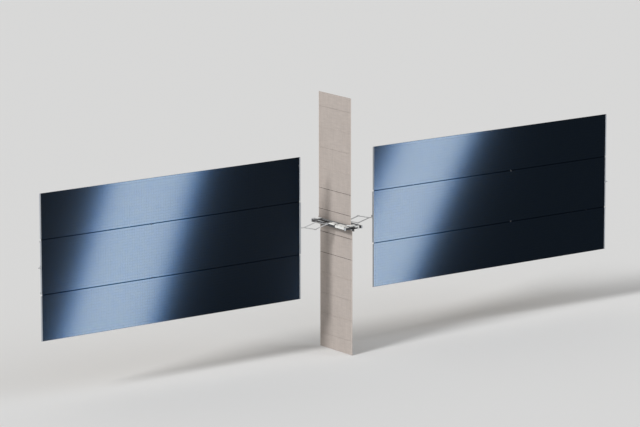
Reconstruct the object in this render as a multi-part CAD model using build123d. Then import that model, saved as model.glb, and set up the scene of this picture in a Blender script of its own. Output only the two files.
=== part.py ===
from build123d import *
import os

os.makedirs("parts", exist_ok=True)

# A high-power satellite in orbit: a thin flat bus, two three-strip solar wings on
# yokes, and two accordion radiators that fold flat above and below the bus.
# X runs along the wings to the right, Y away from the viewer, Z up.
# The origin is on the wing axis, in the middle of the bus.

# Solar cells and the blankets that carry them
cell_pitch = 158.0
cell_columns = 108
middle_rows = 19
outer_rows = 16
blanket_thick = 4.0
seam_margin = 12.0
hem = 6.0
batten_columns = 9
batten_width = 24.0
batten_thick = 3.0

# End bars that hold the blankets, and their seam hinges
bar_start = 2600.0
bar_width = 60.0
root_bar_width = 90.0
bar_depth = 60.0
bar_chamfer = 8.0
bar_end_gap = 50.0
fold_gap = 12.0
bar_lug_head = 9.0
bar_lug_foot = 60.0
bar_lug_width = 14.0
bar_pin_radius = 5.0

# Telescopic mast of square tubes behind the middle strip
mast_stages = 7
mast_root_half = 62.0
mast_tip_half = 32.0
mast_collar = 7.0
mast_collar_length = 70.0
mast_corner = 8.0
mast_gap = 14.0
canister_half = 84.0
canister_length = 640.0
canister_corner = 16.0
mast_plate_thick = 16.0
mast_plate_height = 150.0
clip_columns = 63
clip_length = 110.0
clip_height = 46.0
clip_thick = 10.0
tip_reach = 136.0
tip_height = 150.0
tip_plate = 24.0
tip_nub = 26.0

# Yoke between the bus and the wing, and its drive
yoke_knee = 1500.0
yoke_stub = 210.0
yoke_rise = 200.0
yoke_tube = 46.0
knee_length = 150.0
knee_wall = 6.0
hub_radius = 42.0
hub_length = 34.0
drive_radius = 60.0
drive_length = 72.0
drive_gap = 9.0
drive_saddle = 84.0
drive_height = 60.0
shaft_radius = 30.0
shaft_fit = 0.05
shaft_floor = 12.0
bore_run_out = 4.0

# Bus tray, rails, corner fittings and boxes
tray_half_x = 600.0
tray_half_y = 1530.0
tray_depth = 130.0
tray_corner = 12.0
rail_wall = 22.0
rail_above = 20.0
rail_below = 118.0
rail_groove = 8.0
corner_inset = 15.0
corner_width = 80.0
corner_length = 72.0
corner_above = 24.0
corner_hole = 17.0
corner_chamfer = 10.0
box_width = 300.0
hood_start = 80.0
hood_height = 94.0
hood_round = 44.0
case_length = 830.0
case_inset = 5.0
case_proud = 23.0
case_skirt = 80.0
case_shelf = 30.0
case_top = 80.0
case_top_inset = 125.0
case_notch = 60.0
low_case_top = 44.0
box_round = 10.0

# Accordion radiators
panel_pitch = 1170.0
panel_inset = 28.0
panel_thick = 22.0
edge_rail_width = 42.0
edge_rail_thick = 26.0
stack_pitch = 40.0
panel_count = 7
panel_seam = 12.0
root_edge = 10.0
weld_line = 535.0
weld_width = 6.0
weld_depth = 1.5
upper_x = -140.0
upper_root_z = 85.0
upper_seam_z = 650.0
upper_last = 816.0
lower_x = -40.0
lower_root_z = -205.0
lower_seam_z = -730.0
lower_last = 798.0
hinge_inset = 62.0
hinge_head = 7.5
leaf_foot = 24.0
ear_foot = 50.0
ear_width = 14.0
hinge_tube = 5.0
lug_lip = 3.0
lug_gap = 0.5
pin_fit = 0.05
pin_stub = 3.0
pedestal_half = 30.0
feed_half = 5.0

# Coolant lines at the two ends of the bus
line_radius = 46.0
line_rise = 27.0
line_level = 10.0
line_first = 140.0
line_slope = 130.0
line_second = 180.0
line_offset = 50.0
port_half = 42.0
port_top = 68.0
union_half = 38.0
union_below = 22.0

# Star trackers and thruster on the far end
tracker_insets = (140.0, 270.0)
tracker_base = 64.0
tracker_base_length = 70.0
tracker_mouth = 100.0
tracker_baffle = 90.0
tracker_wall = 4.0
tracker_z = -12.0
thruster_inset = 130.0
thruster_base = 70.0
thruster_base_length = 34.0
thruster_throat = 34.0
thruster_mouth = 100.0
thruster_bell = 96.0
thruster_wall = 3.0
thruster_z = -66.0

# Worked out from the values above
seam_z = middle_rows * cell_pitch / 2 + seam_margin
tip_z = seam_z + seam_margin + outer_rows * cell_pitch
bar_end = bar_start + cell_columns * cell_pitch
fold_step = bar_depth + fold_gap
drive_face = tray_half_x + drive_length
hub_face = drive_face + drive_gap
yoke_apex = hub_face + hub_length
yoke_fork = bar_start - root_bar_width - yoke_stub
rail_face = tray_half_x + rail_wall
box_x0 = tray_half_x - box_width
case_y1 = tray_half_y - case_inset
case_y0 = case_y1 - case_length
panel_half_width = tray_half_y - panel_inset
hinge_site = panel_half_width - hinge_inset
ear_site = hinge_site + lug_gap + ear_width / 2
octagon_side = 0.4142
mast_y = bar_depth / 2 + mast_gap + canister_half


def block(x0, x1, y0, y1, z0, z1):
    # A box given by its six faces
    return Pos((x0 + x1) / 2, (y0 + y1) / 2, (z0 + z1) / 2) * Box(
        abs(x1 - x0), abs(y1 - y0), abs(z1 - z0)
    )


def post(x0, x1, y0, y1, z0, z1, corner):
    # A box with its upright edges chamfered
    box = block(x0, x1, y0, y1, z0, z1)
    return chamfer(box.edges().filter_by(Axis.Z), corner)


def rod(start, end, radius):
    # A straight cylinder between two points
    way = Vector(*end) - Vector(*start)
    return extrude(Plane(origin=start, z_dir=way) * Circle(radius), amount=way.length)


def lug(centre, towards, outward, end_gap, rise, head, foot, width, bore=0.0):
    # A hinge ear: its foot lies on the face of a member that ends end_gap short of the
    # hinge axis, the axis stands rise above that face, and its head is an octagon
    frame = Plane(
        origin=centre, x_dir=towards, z_dir=Vector(*towards).cross(Vector(*outward))
    )
    heel = -end_gap - foot
    half_side = head * octagon_side
    outline = make_face(
        Polyline(
            (heel, -rise),
            (heel, lug_lip - rise),
            (-half_side, head),
            (half_side, head),
            (head, half_side),
            (head, -half_side),
            (half_side, -head),
            (-half_side, -head),
            (-end_gap, -rise),
            close=True,
        )
    )
    if bore:
        outline = outline - Circle(bore)
    return extrude(frame * outline, amount=width / 2, both=True)


def save(name, shape):
    shape.label = name
    export_step(shape, f"parts/{name}.step")


def radiator_panel(plane_x, root_z, first_seam_z, up, index, last_length):
    # One panel of an accordion whose hinges stand on alternate faces
    half = stack_pitch / 2
    first_seam = up * (first_seam_z - root_z)
    seams = [first_seam + panel_pitch * step for step in range(panel_count - 1)]
    first = index == 0
    last = index == panel_count - 1
    start_axis = 0.0 if first else seams[index - 1]
    start_gap = root_edge if first else panel_seam / 2
    start = start_axis + start_gap
    end = seams[-1] + last_length if last else seams[index] - panel_seam / 2
    z0 = root_z + up * start
    z1 = root_z + up * end
    low = min(z0, z1)
    skin = panel_thick / 2
    rail = edge_rail_thick / 2
    inner = panel_half_width - edge_rail_width
    panel = block(plane_x - skin, plane_x + skin, -inner, inner, z0, z1)
    for side in (-1, 1):
        y0 = side * inner
        y1 = side * panel_half_width
        panel += block(plane_x - rail, plane_x + rail, y0, y1, z0, z1)
    if not first:
        line = low + weld_line
        for face in (-1, 1):
            outside = plane_x + face * skin
            panel -= block(
                outside - weld_depth,
                outside + weld_depth,
                -inner,
                inner,
                line - weld_width / 2,
                line + weld_width / 2,
            )
    # A long bored leaf at the start turns on the hinge tube of the panel before
    side = 1 if index % 2 == 0 else -1
    axis = (plane_x + side * half, 0, root_z + up * start_axis)
    rise = half - skin
    bore = hinge_tube + pin_fit
    panel += lug(
        axis, (0, 0, -up), (side, 0, 0), start_gap, rise, hinge_head, leaf_foot, 2 * hinge_site, bore
    )
    if last:
        return panel
    # Ears at the end hold the next hinge tube, on the other face
    x = plane_x - side * half
    z = root_z + up * seams[index]
    gap = panel_seam / 2
    for site in (-ear_site, ear_site):
        panel += lug(
            (x, site, z), (0, 0, up), (-side, 0, 0), gap, rise, hinge_head, ear_foot, ear_width
        )
    return panel + rod((x, -ear_site, z), (x, ear_site, z), hinge_tube)


def radiator_root(plane_x, root_z, up, seat_z):
    # Pedestals on the tray hold the tube that the first panel turns on, and square
    # feed lines lead from its ends to the unions
    axis_x = plane_x + stack_pitch / 2
    height = abs(root_z - seat_z)
    half_side = hinge_head * octagon_side
    root = rod((axis_x, -ear_site, root_z), (axis_x, ear_site, root_z), hinge_tube)
    for y_side in (-1, 1):
        site = y_side * ear_site
        frame = Plane(origin=(axis_x, site, root_z), x_dir=(0, 0, up), z_dir=(0, 1, 0))
        outline = make_face(
            Polyline(
                (-height, -pedestal_half),
                (-height, pedestal_half),
                (half_side, hinge_head),
                (hinge_head, half_side),
                (hinge_head, -half_side),
                (half_side, -hinge_head),
                close=True,
            )
        )
        root += extrude(frame * outline, amount=ear_width / 2, both=True)
        root += block(
            axis_x - feed_half,
            axis_x + feed_half,
            site,
            y_side * tray_half_y,
            root_z - feed_half,
            root_z + feed_half,
        )
    return root


def root_union(axis_x, y_side, z0, z1):
    # A coolant union on the tray's end, around the end of a root tube
    y0 = y_side * tray_half_y
    y1 = y_side * (tray_half_y + line_offset + line_radius)
    return block(axis_x - union_half, axis_x + union_half, y0, y1, z0, z1)


def end_bar(x0, x1, z0, z1):
    return post(x0, x1, -bar_depth / 2, bar_depth / 2, z0, z1, bar_chamfer)


def bar_lugs(x_middle, up, layer, of_middle):
    # The ear of the middle bar carries the pin, the eye belongs to the folding bar
    rise = layer * fold_step / 2 - bar_depth / 2
    step = (bar_lug_width + lug_gap) / 2
    x = x_middle - step if of_middle else x_middle + step
    y = -layer * fold_step / 2
    z = up * seam_z
    towards = (0, 0, up if of_middle else -up)
    bore = 0.0 if of_middle else bar_pin_radius + pin_fit
    ear = lug(
        (x, y, z), towards, (0, -1, 0), bar_end_gap, rise, bar_lug_head, bar_lug_foot, bar_lug_width, bore
    )
    if of_middle:
        ear += rod((x, y, z), (x_middle + step + bar_lug_width / 2 + pin_stub, y, z), bar_pin_radius)
    return ear


def middle_bar(x0, x1, hinge_x):
    reach = seam_z - bar_end_gap
    bar = end_bar(x0, x1, -reach, reach)
    return bar + bar_lugs(hinge_x, 1, 1, True) + bar_lugs(hinge_x, -1, 2, True)


def outer_bar(x0, x1, hinge_x, up, layer):
    near = up * (seam_z + bar_end_gap)
    bar = end_bar(x0, x1, near, up * tip_z)
    return bar + bar_lugs(hinge_x, up, layer, False)


def blanket(z0, z1):
    # A cell blanket with battens across its back
    sheet = block(bar_start, bar_end, -blanket_thick / 2, blanket_thick / 2, z0, z1)
    back = blanket_thick / 2
    for column in range(batten_columns, cell_columns, batten_columns):
        x = bar_start + column * cell_pitch
        sheet += block(x - batten_width / 2, x + batten_width / 2, back, back + batten_thick, z0, z1)
    return sheet


def seam_clips():
    # Guide brackets on both long edges of the middle strip
    x = bar_start + clip_columns * cell_pitch
    front = -blanket_thick / 2
    clips = []
    for up in (-1, 1):
        edge = up * (seam_z - hem)
        clip = block(
            x - clip_length / 2,
            x + clip_length / 2,
            front - clip_thick,
            front,
            edge - up * clip_height,
            edge,
        )
        clips.append(chamfer(clip.faces().sort_by(Axis.Y)[0].edges(), clip_thick / 3))
    return Compound(children=clips)


def square_tube(x0, x1, half, corner):
    section = chamfer(Rectangle(2 * half, 2 * half).vertices(), corner)
    return extrude(Plane(origin=(x0, mast_y, 0), z_dir=(1, 0, 0)) * section, amount=x1 - x0)


def mast():
    # Canister, telescopic stages with collars, and the bracket that pushes the tip bar
    start = bar_start + mast_gap
    foot = start + canister_length
    run = (bar_end - mast_plate_thick - foot) / mast_stages
    shrink = (mast_root_half - mast_tip_half) / (mast_stages - 1)
    body = square_tube(start, foot, canister_half, canister_corner)
    for stage in range(mast_stages):
        half = mast_root_half - stage * shrink
        x0 = foot + stage * run
        x1 = x0 + run
        body += square_tube(x0, x1, half, mast_corner)
        if stage < mast_stages - 1:
            body += square_tube(x1 - mast_collar_length, x1, half + mast_collar, mast_corner)
    back = bar_depth / 2
    tall = mast_plate_height / 2
    inside = bar_end - mast_plate_thick
    body += block(inside, bar_end, back, mast_y + mast_tip_half, -tall, tall)
    body += block(bar_end, bar_end + bar_width, back, back + mast_plate_thick, -tall, tall)
    body += block(bar_start, start, back, mast_y + canister_half, -canister_half, canister_half)
    body += block(
        bar_start - root_bar_width, bar_start, back, back + mast_plate_thick, -canister_half, canister_half
    )
    return body


def tip_fitting():
    # The T-shaped fitting outboard of the tip bar, on the mast line
    face = bar_end + bar_width
    plate = block(face, face + tip_plate, -tip_nub, tip_nub, -tip_height / 2, tip_height / 2)
    nub = Plane(origin=(face, 0, 0), z_dir=(1, 0, 0)) * RegularPolygon(tip_nub, 8)
    return plate + extrude(nub, amount=tip_reach)


def yoke():
    # A rhombus of square tube from the drive hub to the root bar
    rhombus = Polyline(
        (yoke_apex, 0), (yoke_knee, yoke_rise), (yoke_fork, 0), (yoke_knee, -yoke_rise), close=True
    )
    centre = make_face(rhombus)
    outside = offset(centre, yoke_tube / 2, kind=Kind.INTERSECTION)
    inside = offset(centre, -yoke_tube / 2, kind=Kind.INTERSECTION)
    frame = extrude(Plane.XZ * (outside - inside), amount=yoke_tube / 2, both=True)
    stub_z = yoke_tube / 2
    trim = block(0, hub_face, -yoke_rise, yoke_rise, -yoke_rise, yoke_rise)
    stub = block(yoke_fork, bar_start - root_bar_width, -stub_z, stub_z, -stub_z, stub_z)
    hub = rod((hub_face, 0, 0), (yoke_apex + 2 * hub_length, 0, 0), hub_radius)
    shaft = rod((tray_half_x + shaft_floor, 0, 0), (hub_face, 0, 0), shaft_radius)
    body = (frame - trim) + stub + hub + shaft
    for up in (-1, 1):
        knee = Pos(yoke_knee, 0, up * yoke_rise) * Box(
            knee_length, yoke_tube + 2 * knee_wall, yoke_tube + 2 * knee_wall
        )
        body += chamfer(knee.edges().filter_by(Axis.Y), knee_wall)
    return body


def drive_housing():
    # A flanged drum on the tray's side, with a saddle on its top
    drum = rod((tray_half_x, 0, 0), (drive_face, 0, 0), drive_radius)
    saddle = block(
        tray_half_x - drive_saddle, tray_half_x, -drive_radius, drive_radius, 0, drive_height
    )
    bore_floor = tray_half_x + shaft_floor - bore_run_out
    bore = rod((bore_floor, 0, 0), (drive_face, 0, 0), shaft_radius + shaft_fit)
    return drum + saddle - bore


def tray():
    body = block(-tray_half_x, tray_half_x, -tray_half_y, tray_half_y, -tray_depth, 0)
    return chamfer(body.faces().sort_by(Axis.Z)[0].edges(), tray_corner)


def side_rail(side, y0, y1):
    inner = side * tray_half_x
    outer = side * (tray_half_x + rail_wall)
    rail = block(inner, outer, y0, y1, -rail_below, rail_above)
    middle = (rail_above - rail_below) / 2
    rail -= block(
        outer - side * rail_groove, outer, y0, y1, middle - rail_wall, middle + rail_wall
    )
    return rail


def side_rails(side):
    # A rail in two lengths, either side of the wing drive, up to the case that laps over it
    reach = drive_radius + box_round
    near = -case_y0 if side < 0 else -tray_half_y
    far = tray_half_y if side < 0 else case_y0
    return Compound(children=[side_rail(side, near, -reach), side_rail(side, reach, far)])


def corner_fittings():
    # Lifting and stacking blocks beyond the radiators' width, each with a plain hole
    x = tray_half_x - corner_inset
    y = tray_half_y + corner_length / 2
    fittings = []
    for x_side in (-1, 1):
        for y_side in (-1, 1):
            box = post(
                x_side * x - corner_width / 2,
                x_side * x + corner_width / 2,
                y_side * tray_half_y,
                y_side * (tray_half_y + corner_length),
                -tray_depth,
                corner_above,
                corner_chamfer,
            )
            foot = (x_side * x, y_side * y, -tray_depth)
            box -= rod(foot, (x_side * x, y_side * y, corner_above), corner_hole)
            fittings.append(box)
    return Compound(children=fittings)


def hood():
    # The rounded white housing on the tray's left edge
    box = block(-rail_face, -box_x0, -case_y0, -hood_start, 0, hood_height)
    rounded = fillet(box.faces().sort_by(Axis.Z)[-1].edges(), hood_round)
    return rounded - block(-rail_face, -tray_half_x, -case_y0, -hood_start, 0, rail_above)


def case(top):
    # A housing that laps over the tray's edge, with a raised part set back from it
    x1 = rail_face + case_proud
    skirt = block(-x1, -tray_half_x, -case_y1, -case_y0, -case_skirt, case_shelf)
    shelf = block(-x1, -box_x0, -case_y1, -case_y0, 0, case_shelf)
    far = case_y1 - case_top_inset
    raised = block(-tray_half_x, -box_x0, -far, -case_y0, case_shelf, top)
    middle = -(case_y0 + far) / 2
    notch = block(
        -tray_half_x,
        case_notch - tray_half_x,
        middle - case_notch / 2,
        middle + case_notch / 2,
        case_shelf,
        top,
    )
    return skirt + shelf + (raised - notch)


def coolant_line(y_side):
    # An insulated line from the union on the upper root tube, down to a port on the tray's end
    axis_x = upper_x + stack_pitch / 2
    high = upper_root_z + line_rise
    bend = axis_x + line_first
    low = bend + line_slope
    end = low + line_second
    route = ((axis_x, high), (bend, high), (low, line_level), (end, line_level), (end, -port_top))
    y = y_side * (tray_half_y + line_offset)
    path = Polyline(*[(x, y, z) for x, z in route])
    section = Plane(origin=path @ 0, z_dir=path % 0) * RegularPolygon(line_radius, 8)
    tube = sweep(section, path, transition=Transition.RIGHT)
    y0 = y_side * tray_half_y
    y1 = y_side * (tray_half_y + line_offset + line_radius)
    port = block(end - port_half, end + port_half, y0, y1, -tray_depth, -port_top)
    fitting = root_union(axis_x, y_side, upper_root_z - union_below, high + union_half)
    return tube + port + fitting


def lower_unions():
    axis_x = lower_x + stack_pitch / 2
    low = lower_root_z - union_below
    return Compound(children=[root_union(axis_x, side, low, -port_top) for side in (-1, 1)])


def flare(mount, low_width, high_width, length):
    # A square horn with flat sides: what two crossed wedges have in common
    outline = make_face(
        Polyline(
            (-low_width / 2, 0),
            (low_width / 2, 0),
            (high_width / 2, length),
            (-high_width / 2, length),
            close=True,
        )
    )
    wedges = []
    for across in (mount.x_dir, mount.y_dir):
        side = Plane(origin=mount.origin, x_dir=across, z_dir=across.cross(mount.z_dir))
        wedges.append(extrude(side * outline, amount=high_width / 2, both=True))
    return wedges[0] & wedges[1]


def star_trackers():
    # Boxes with open, flared light baffles
    base = tracker_base
    mouth = tracker_mouth
    wall = 2 * tracker_wall
    heads = []
    for place in tracker_insets:
        seat = (place - tray_half_x, tray_half_y, tracker_z)
        mount = Plane(origin=seat, x_dir=(1, 0, 0), z_dir=(0, 1, 0))
        throat = mount.offset(tracker_base_length)
        baffle = flare(throat, base, mouth, tracker_baffle)
        baffle -= flare(throat, base - wall, mouth - wall, tracker_baffle)
        heads.append(extrude(mount * Rectangle(base, base), amount=tracker_base_length) + baffle)
    return Compound(children=heads)


def thruster():
    # A square base with an open eight-sided bell: what two turned horns have in common
    seat = (tray_half_x - thruster_inset, tray_half_y, thruster_z)
    mount = Plane(origin=seat, x_dir=(1, 0, 0), z_dir=(0, 1, 0))
    throat = mount.offset(thruster_base_length)
    turned = Plane(origin=throat.origin, x_dir=(1, 0, 1), z_dir=throat.z_dir)
    bells = []
    for wall in (0, 2 * thruster_wall):
        widths = (thruster_throat - wall, thruster_mouth - wall, thruster_bell)
        bells.append(flare(throat, *widths) & flare(turned, *widths))
    base = extrude(mount * Rectangle(thruster_base, thruster_base), amount=thruster_base_length)
    return base + (bells[0] - bells[1])


# Bus
save("bus_tray", tray())
save("rail_left", side_rails(-1))
save("rail_right", side_rails(1))
save("corner_fittings", corner_fittings())
save("hood", hood())
save("case_front", case(case_top))
save("case_rear", Rot(0, 0, 180) * case(low_case_top))
save("coolant_line_front", coolant_line(-1))
save("coolant_line_rear", coolant_line(1))
save("lower_unions", lower_unions())
save("star_trackers", star_trackers())
save("thruster", thruster())
save("wing_drives", Compound(children=[drive_housing(), mirror(drive_housing(), Plane.YZ)]))
save("radiator_root_upper", radiator_root(upper_x, upper_root_z, 1, 0.0))
save("radiator_root_lower", radiator_root(lower_x, lower_root_z, -1, -tray_depth))

# Radiators: level, plane, root axis, first seam, direction, length of the last panel
chains = (
    ("upper", upper_x, upper_root_z, upper_seam_z, 1, upper_last),
    ("lower", lower_x, lower_root_z, lower_seam_z, -1, lower_last),
)
for level, plane_x, root_z, first_seam_z, up, last_length in chains:
    for index in range(panel_count):
        panel = radiator_panel(plane_x, root_z, first_seam_z, up, index, last_length)
        save(f"radiator_{level}_{index + 1}", panel)

# Wings: the right one is built, the left one is its mirror image
bar_middle = bar_start - bar_width / 2
tip_middle = bar_end + bar_width / 2
cells_edge = seam_z + seam_margin - hem
wing = {
    "yoke": yoke(),
    "mast": mast(),
    "root_bar_middle": middle_bar(bar_start - root_bar_width, bar_start, bar_middle),
    "root_bar_upper": outer_bar(bar_start - bar_width, bar_start, bar_middle, 1, 1),
    "root_bar_lower": outer_bar(bar_start - bar_width, bar_start, bar_middle, -1, 2),
    "tip_bar_middle": middle_bar(bar_end, bar_end + bar_width, tip_middle) + tip_fitting(),
    "tip_bar_upper": outer_bar(bar_end, bar_end + bar_width, tip_middle, 1, 1),
    "tip_bar_lower": outer_bar(bar_end, bar_end + bar_width, tip_middle, -1, 2),
    "blanket_middle": blanket(-seam_z + hem, seam_z - hem),
    "blanket_upper": blanket(cells_edge, tip_z),
    "blanket_lower": blanket(-tip_z, -cells_edge),
    "seam_clips": seam_clips(),
}
for name, shape in wing.items():
    save(f"{name}_right", shape)
    save(f"{name}_left", mirror(shape, Plane.YZ))
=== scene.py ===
import math

import bmesh
import bpy
from mathutils import Matrix, Vector, noise


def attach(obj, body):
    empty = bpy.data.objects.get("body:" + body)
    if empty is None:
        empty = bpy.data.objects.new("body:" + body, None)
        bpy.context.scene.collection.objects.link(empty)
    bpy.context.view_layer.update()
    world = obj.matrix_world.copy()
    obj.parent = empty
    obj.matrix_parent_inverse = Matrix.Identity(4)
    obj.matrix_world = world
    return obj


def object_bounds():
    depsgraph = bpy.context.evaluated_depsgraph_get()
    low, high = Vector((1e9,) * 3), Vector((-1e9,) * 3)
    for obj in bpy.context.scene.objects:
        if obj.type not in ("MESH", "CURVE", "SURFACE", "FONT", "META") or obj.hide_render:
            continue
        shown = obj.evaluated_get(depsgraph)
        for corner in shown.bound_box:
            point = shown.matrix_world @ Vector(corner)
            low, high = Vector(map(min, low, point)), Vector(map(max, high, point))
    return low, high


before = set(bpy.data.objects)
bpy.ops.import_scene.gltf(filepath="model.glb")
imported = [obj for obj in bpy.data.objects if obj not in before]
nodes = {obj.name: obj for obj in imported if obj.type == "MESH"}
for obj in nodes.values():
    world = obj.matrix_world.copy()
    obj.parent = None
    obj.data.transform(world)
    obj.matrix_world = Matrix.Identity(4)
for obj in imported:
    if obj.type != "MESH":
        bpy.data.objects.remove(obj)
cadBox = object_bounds()  # the CAD model's own box, before anything is added
print("frame loaded:", len(nodes), "CAD nodes")

scene = bpy.context.scene
scene.view_settings.view_transform = "Standard"

sides = {"left": -1, "right": 1}
levels = {"upper": 1, "lower": -1}


def newMaterial(name, build, *values, **more):
    # build lays the nodes that end in the shader
    material = bpy.data.materials.new(name)
    material.use_nodes = True
    tree = material.node_tree
    build(tree, tree.nodes["Principled BSDF"], *values, **more)
    return material


def addNode(tree, kind, **settings):
    node = tree.nodes.new(kind)
    for key, value in settings.items():
        setattr(node, key, value)
    return node


def fillSocket(tree, socket, value):
    # the value is another node's socket, a number or a colour
    if isinstance(value, bpy.types.NodeSocket):
        tree.links.new(value, socket)
    elif isinstance(value, (int, float)):
        socket.default_value = value
    else:
        socket.default_value = (*value, 1)


def fillInputs(tree, node, values):
    for name, value in values.items():
        fillSocket(tree, node.inputs[name], value)


def mathNode(tree, operation, *values):
    node = addNode(tree, "ShaderNodeMath", operation=operation)
    for socket, value in zip(node.inputs, values):
        fillSocket(tree, socket, value)
    return node.outputs[0]


def coatShader(tree, shader, colour, roughness, bump=None, metallic=0.0, shine=0.5):
    # bump holds the field that gives the height, its strength and its distance
    fillInputs(tree, shader, {"Base Color": colour, "Roughness": roughness})
    fillInputs(tree, shader, {"Metallic": metallic, "Specular IOR Level": shine})
    if bump:
        node = addNode(tree, "ShaderNodeBump")
        fillInputs(tree, node, dict(zip(("Height", "Strength", "Distance"), bump)))
        tree.links.new(node.outputs[0], shader.inputs["Normal"])


def addObject(name, data):
    made = bpy.data.objects.new(name, data)
    scene.collection.objects.link(made)
    return made


cameraSetup = {
    "back": (-0.57984, -0.78885, 0.20371),  # from the satellite towards the camera
    "distance": 233.286,
    "shiftRight": -0.945,
    "shiftUp": 0.513,
    "roll": -0.059,
    "lens": 233.39,
    "sensor": 36.0,
    "clip": (1.0, 3000.0),
}


def makeCamera(setup):
    data = bpy.data.cameras.new("photoCamera")
    data.sensor_width = setup["sensor"]
    data.lens = setup["lens"]
    data.clip_start, data.clip_end = setup["clip"]
    camera = addObject("photoCamera", data)
    back = Vector(setup["back"]).normalized()
    right = Vector((0, 0, 1)).cross(back).normalized()
    up = back.cross(right)
    turn = Matrix((right, up, back)).transposed().to_4x4()
    place = back * setup["distance"] + right * setup["shiftRight"] + up * setup["shiftUp"]
    roll = Matrix.Rotation(math.radians(setup["roll"]), 4, "Z")
    camera.matrix_world = Matrix.Translation(place) @ turn @ roll
    scene.camera = camera


floorSetup = {
    "drop": 0.02,  # gap under the lowest radiator
    "halfSize": 1500.0,
    "colour": (0.82, 0.82, 0.815),
    "roughness": 0.95,
}


def makeFloor(setup):
    bm = bmesh.new()
    bmesh.ops.create_grid(bm, x_segments=1, y_segments=1, size=setup["halfSize"])
    low = cadBox[0].z - setup["drop"]
    bmesh.ops.translate(bm, vec=(0, 0, low), verts=bm.verts)
    mesh = bpy.data.meshes.new("studioFloor")
    bm.to_mesh(mesh)
    bm.free()
    floor = addObject("studioFloor", mesh)
    pale = newMaterial("floorPale", coatShader, setup["colour"], setup["roughness"], shine=0.0)
    mesh.materials.append(pale)


lightSetup = {
    "skyLight": 0.42,
    "backdrop": (0.80, 0.80, 0.80),
    "keyStrength": 2.15,
    "keyAngle": 12.0,
    "keyFrom": (-0.84, -0.17, 0.52),
    "fillStrength": 0.3,
    "fillAngle": 40.0,
    "fillFrom": (0.55, -0.55, 0.63),
    # long soft cards whose reflections cross the cells as slanting bands, bluer at their edges
    "cardDistance": 6.0,
    "cardStep": 0.05,  # each card lies this much behind the last, so that their light adds up
    "cardHeight": 17.0,
    "cardRadiance": 50.5,
    "cardCore": (0.94, 0.515, 0.13),
    "cardRim": (0.06, 0.30, 0.55),
    # centre on the wing, width, slant, colour
    "cards": (
        (-14.32, 5.22, 0.36, "cardCore"),
        (-14.34, 6.2, 0.36, "cardRim"),
        (4.885, 4.65, 0.55, "cardCore"),
        (4.8, 5.6, 0.55, "cardRim"),
    ),
}


def makeSky(setup):
    # white light from all round, and a pale backdrop for the camera and the reflections
    world = bpy.data.worlds.new("studioWorld")
    scene.world = world
    world.use_nodes = True
    tree = world.node_tree
    tree.nodes.clear()
    path = addNode(tree, "ShaderNodeLightPath").outputs
    seen = mathNode(tree, "MAXIMUM", path["Is Camera Ray"], path["Is Glossy Ray"])
    seen = mathNode(tree, "MAXIMUM", seen, path["Is Transmission Ray"])
    light = addNode(tree, "ShaderNodeBackground")
    fillInputs(tree, light, {"Color": (1, 1, 1), "Strength": setup["skyLight"]})
    backdrop = addNode(tree, "ShaderNodeBackground")
    fillInputs(tree, backdrop, {"Color": setup["backdrop"], "Strength": 1.0})
    mix = addNode(tree, "ShaderNodeMixShader")
    output = addNode(tree, "ShaderNodeOutputWorld")
    for socket, value in zip(mix.inputs, (seen, light.outputs[0], backdrop.outputs[0])):
        fillSocket(tree, socket, value)
    tree.links.new(mix.outputs[0], output.inputs["Surface"])


def makeSuns(setup):
    for name in ("key", "fill"):
        data = bpy.data.lights.new(name + "Light", "SUN")
        data.energy = setup[name + "Strength"]
        data.angle = math.radians(setup[name + "Angle"])
        lamp = addObject(name + "Light", data)
        lamp.rotation_euler = Vector(setup[name + "From"]).to_track_quat("Z", "Y").to_euler()


def makeCards(setup):
    back = Vector(cameraSetup["back"])
    cells = bpy.data.collections.new("cellSheets")  # only the cells take the cards' light
    for name in nodes:
        if name.startswith("blanket"):
            cells.objects.link(nodes[name])
    face = Matrix.Rotation(math.radians(90), 4, "X")
    for number, (centre, width, slant, colour) in enumerate(setup["cards"]):
        data = bpy.data.lights.new("softCard", "AREA")
        data.shape = "RECTANGLE"
        data.size = width
        data.size_y = setup["cardHeight"]
        data.energy = setup["cardRadiance"] * math.pi * width * setup["cardHeight"]
        data.color = setup[colour]
        card = addObject(f"softCard{number + 1}", data)
        distance = setup["cardDistance"] + number * setup["cardStep"]
        out = distance / -back.y
        place = Matrix.Translation((centre - back.x * out, -distance, -back.z * out))
        card.matrix_world = place @ Matrix.Rotation(math.atan(slant), 4, "Y") @ face
        card.visible_camera = False
        card.visible_diffuse = False
        card.visible_transmission = False
        card.light_linking.receiver_collection = cells


makeCamera(cameraSetup)
makeFloor(floorSetup)
makeSky(lightSetup)
makeSuns(lightSetup)
makeCards(lightSetup)
print("camera, floor and lights are in place")


def objectPlace(tree, scale=(1, 1, 1), turn=(0, 0, 0)):
    place = addNode(tree, "ShaderNodeTexCoord")
    mapping = addNode(tree, "ShaderNodeMapping")
    mapping.inputs["Scale"].default_value = scale
    mapping.inputs["Rotation"].default_value = turn
    tree.links.new(place.outputs["Object"], mapping.inputs["Vector"])
    return mapping.outputs[0]


def splitPlace(tree, place):
    split = addNode(tree, "ShaderNodeSeparateXYZ")
    tree.links.new(place, split.inputs[0])
    return split.outputs


def noiseField(tree, place, scale, detail=3.0, roughness=0.5):
    field = addNode(tree, "ShaderNodeTexNoise")
    fillInputs(tree, field, {"Scale": scale, "Detail": detail, "Roughness": roughness})
    tree.links.new(place, field.inputs["Vector"])
    return field.outputs["Fac"]


def mapRange(tree, field, low, high):
    span = addNode(tree, "ShaderNodeMapRange")
    fillInputs(tree, span, {"Value": field, "To Min": low, "To Max": high})
    return span.outputs[0]


def rampOf(tree, field, *stops):
    ramp = addNode(tree, "ShaderNodeValToRGB")
    for part, (place, colour) in zip(ramp.color_ramp.elements, stops):
        part.position = place
        part.color = (*colour, 1)
    tree.links.new(field, ramp.inputs["Fac"])
    return ramp.outputs["Color"]


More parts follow.
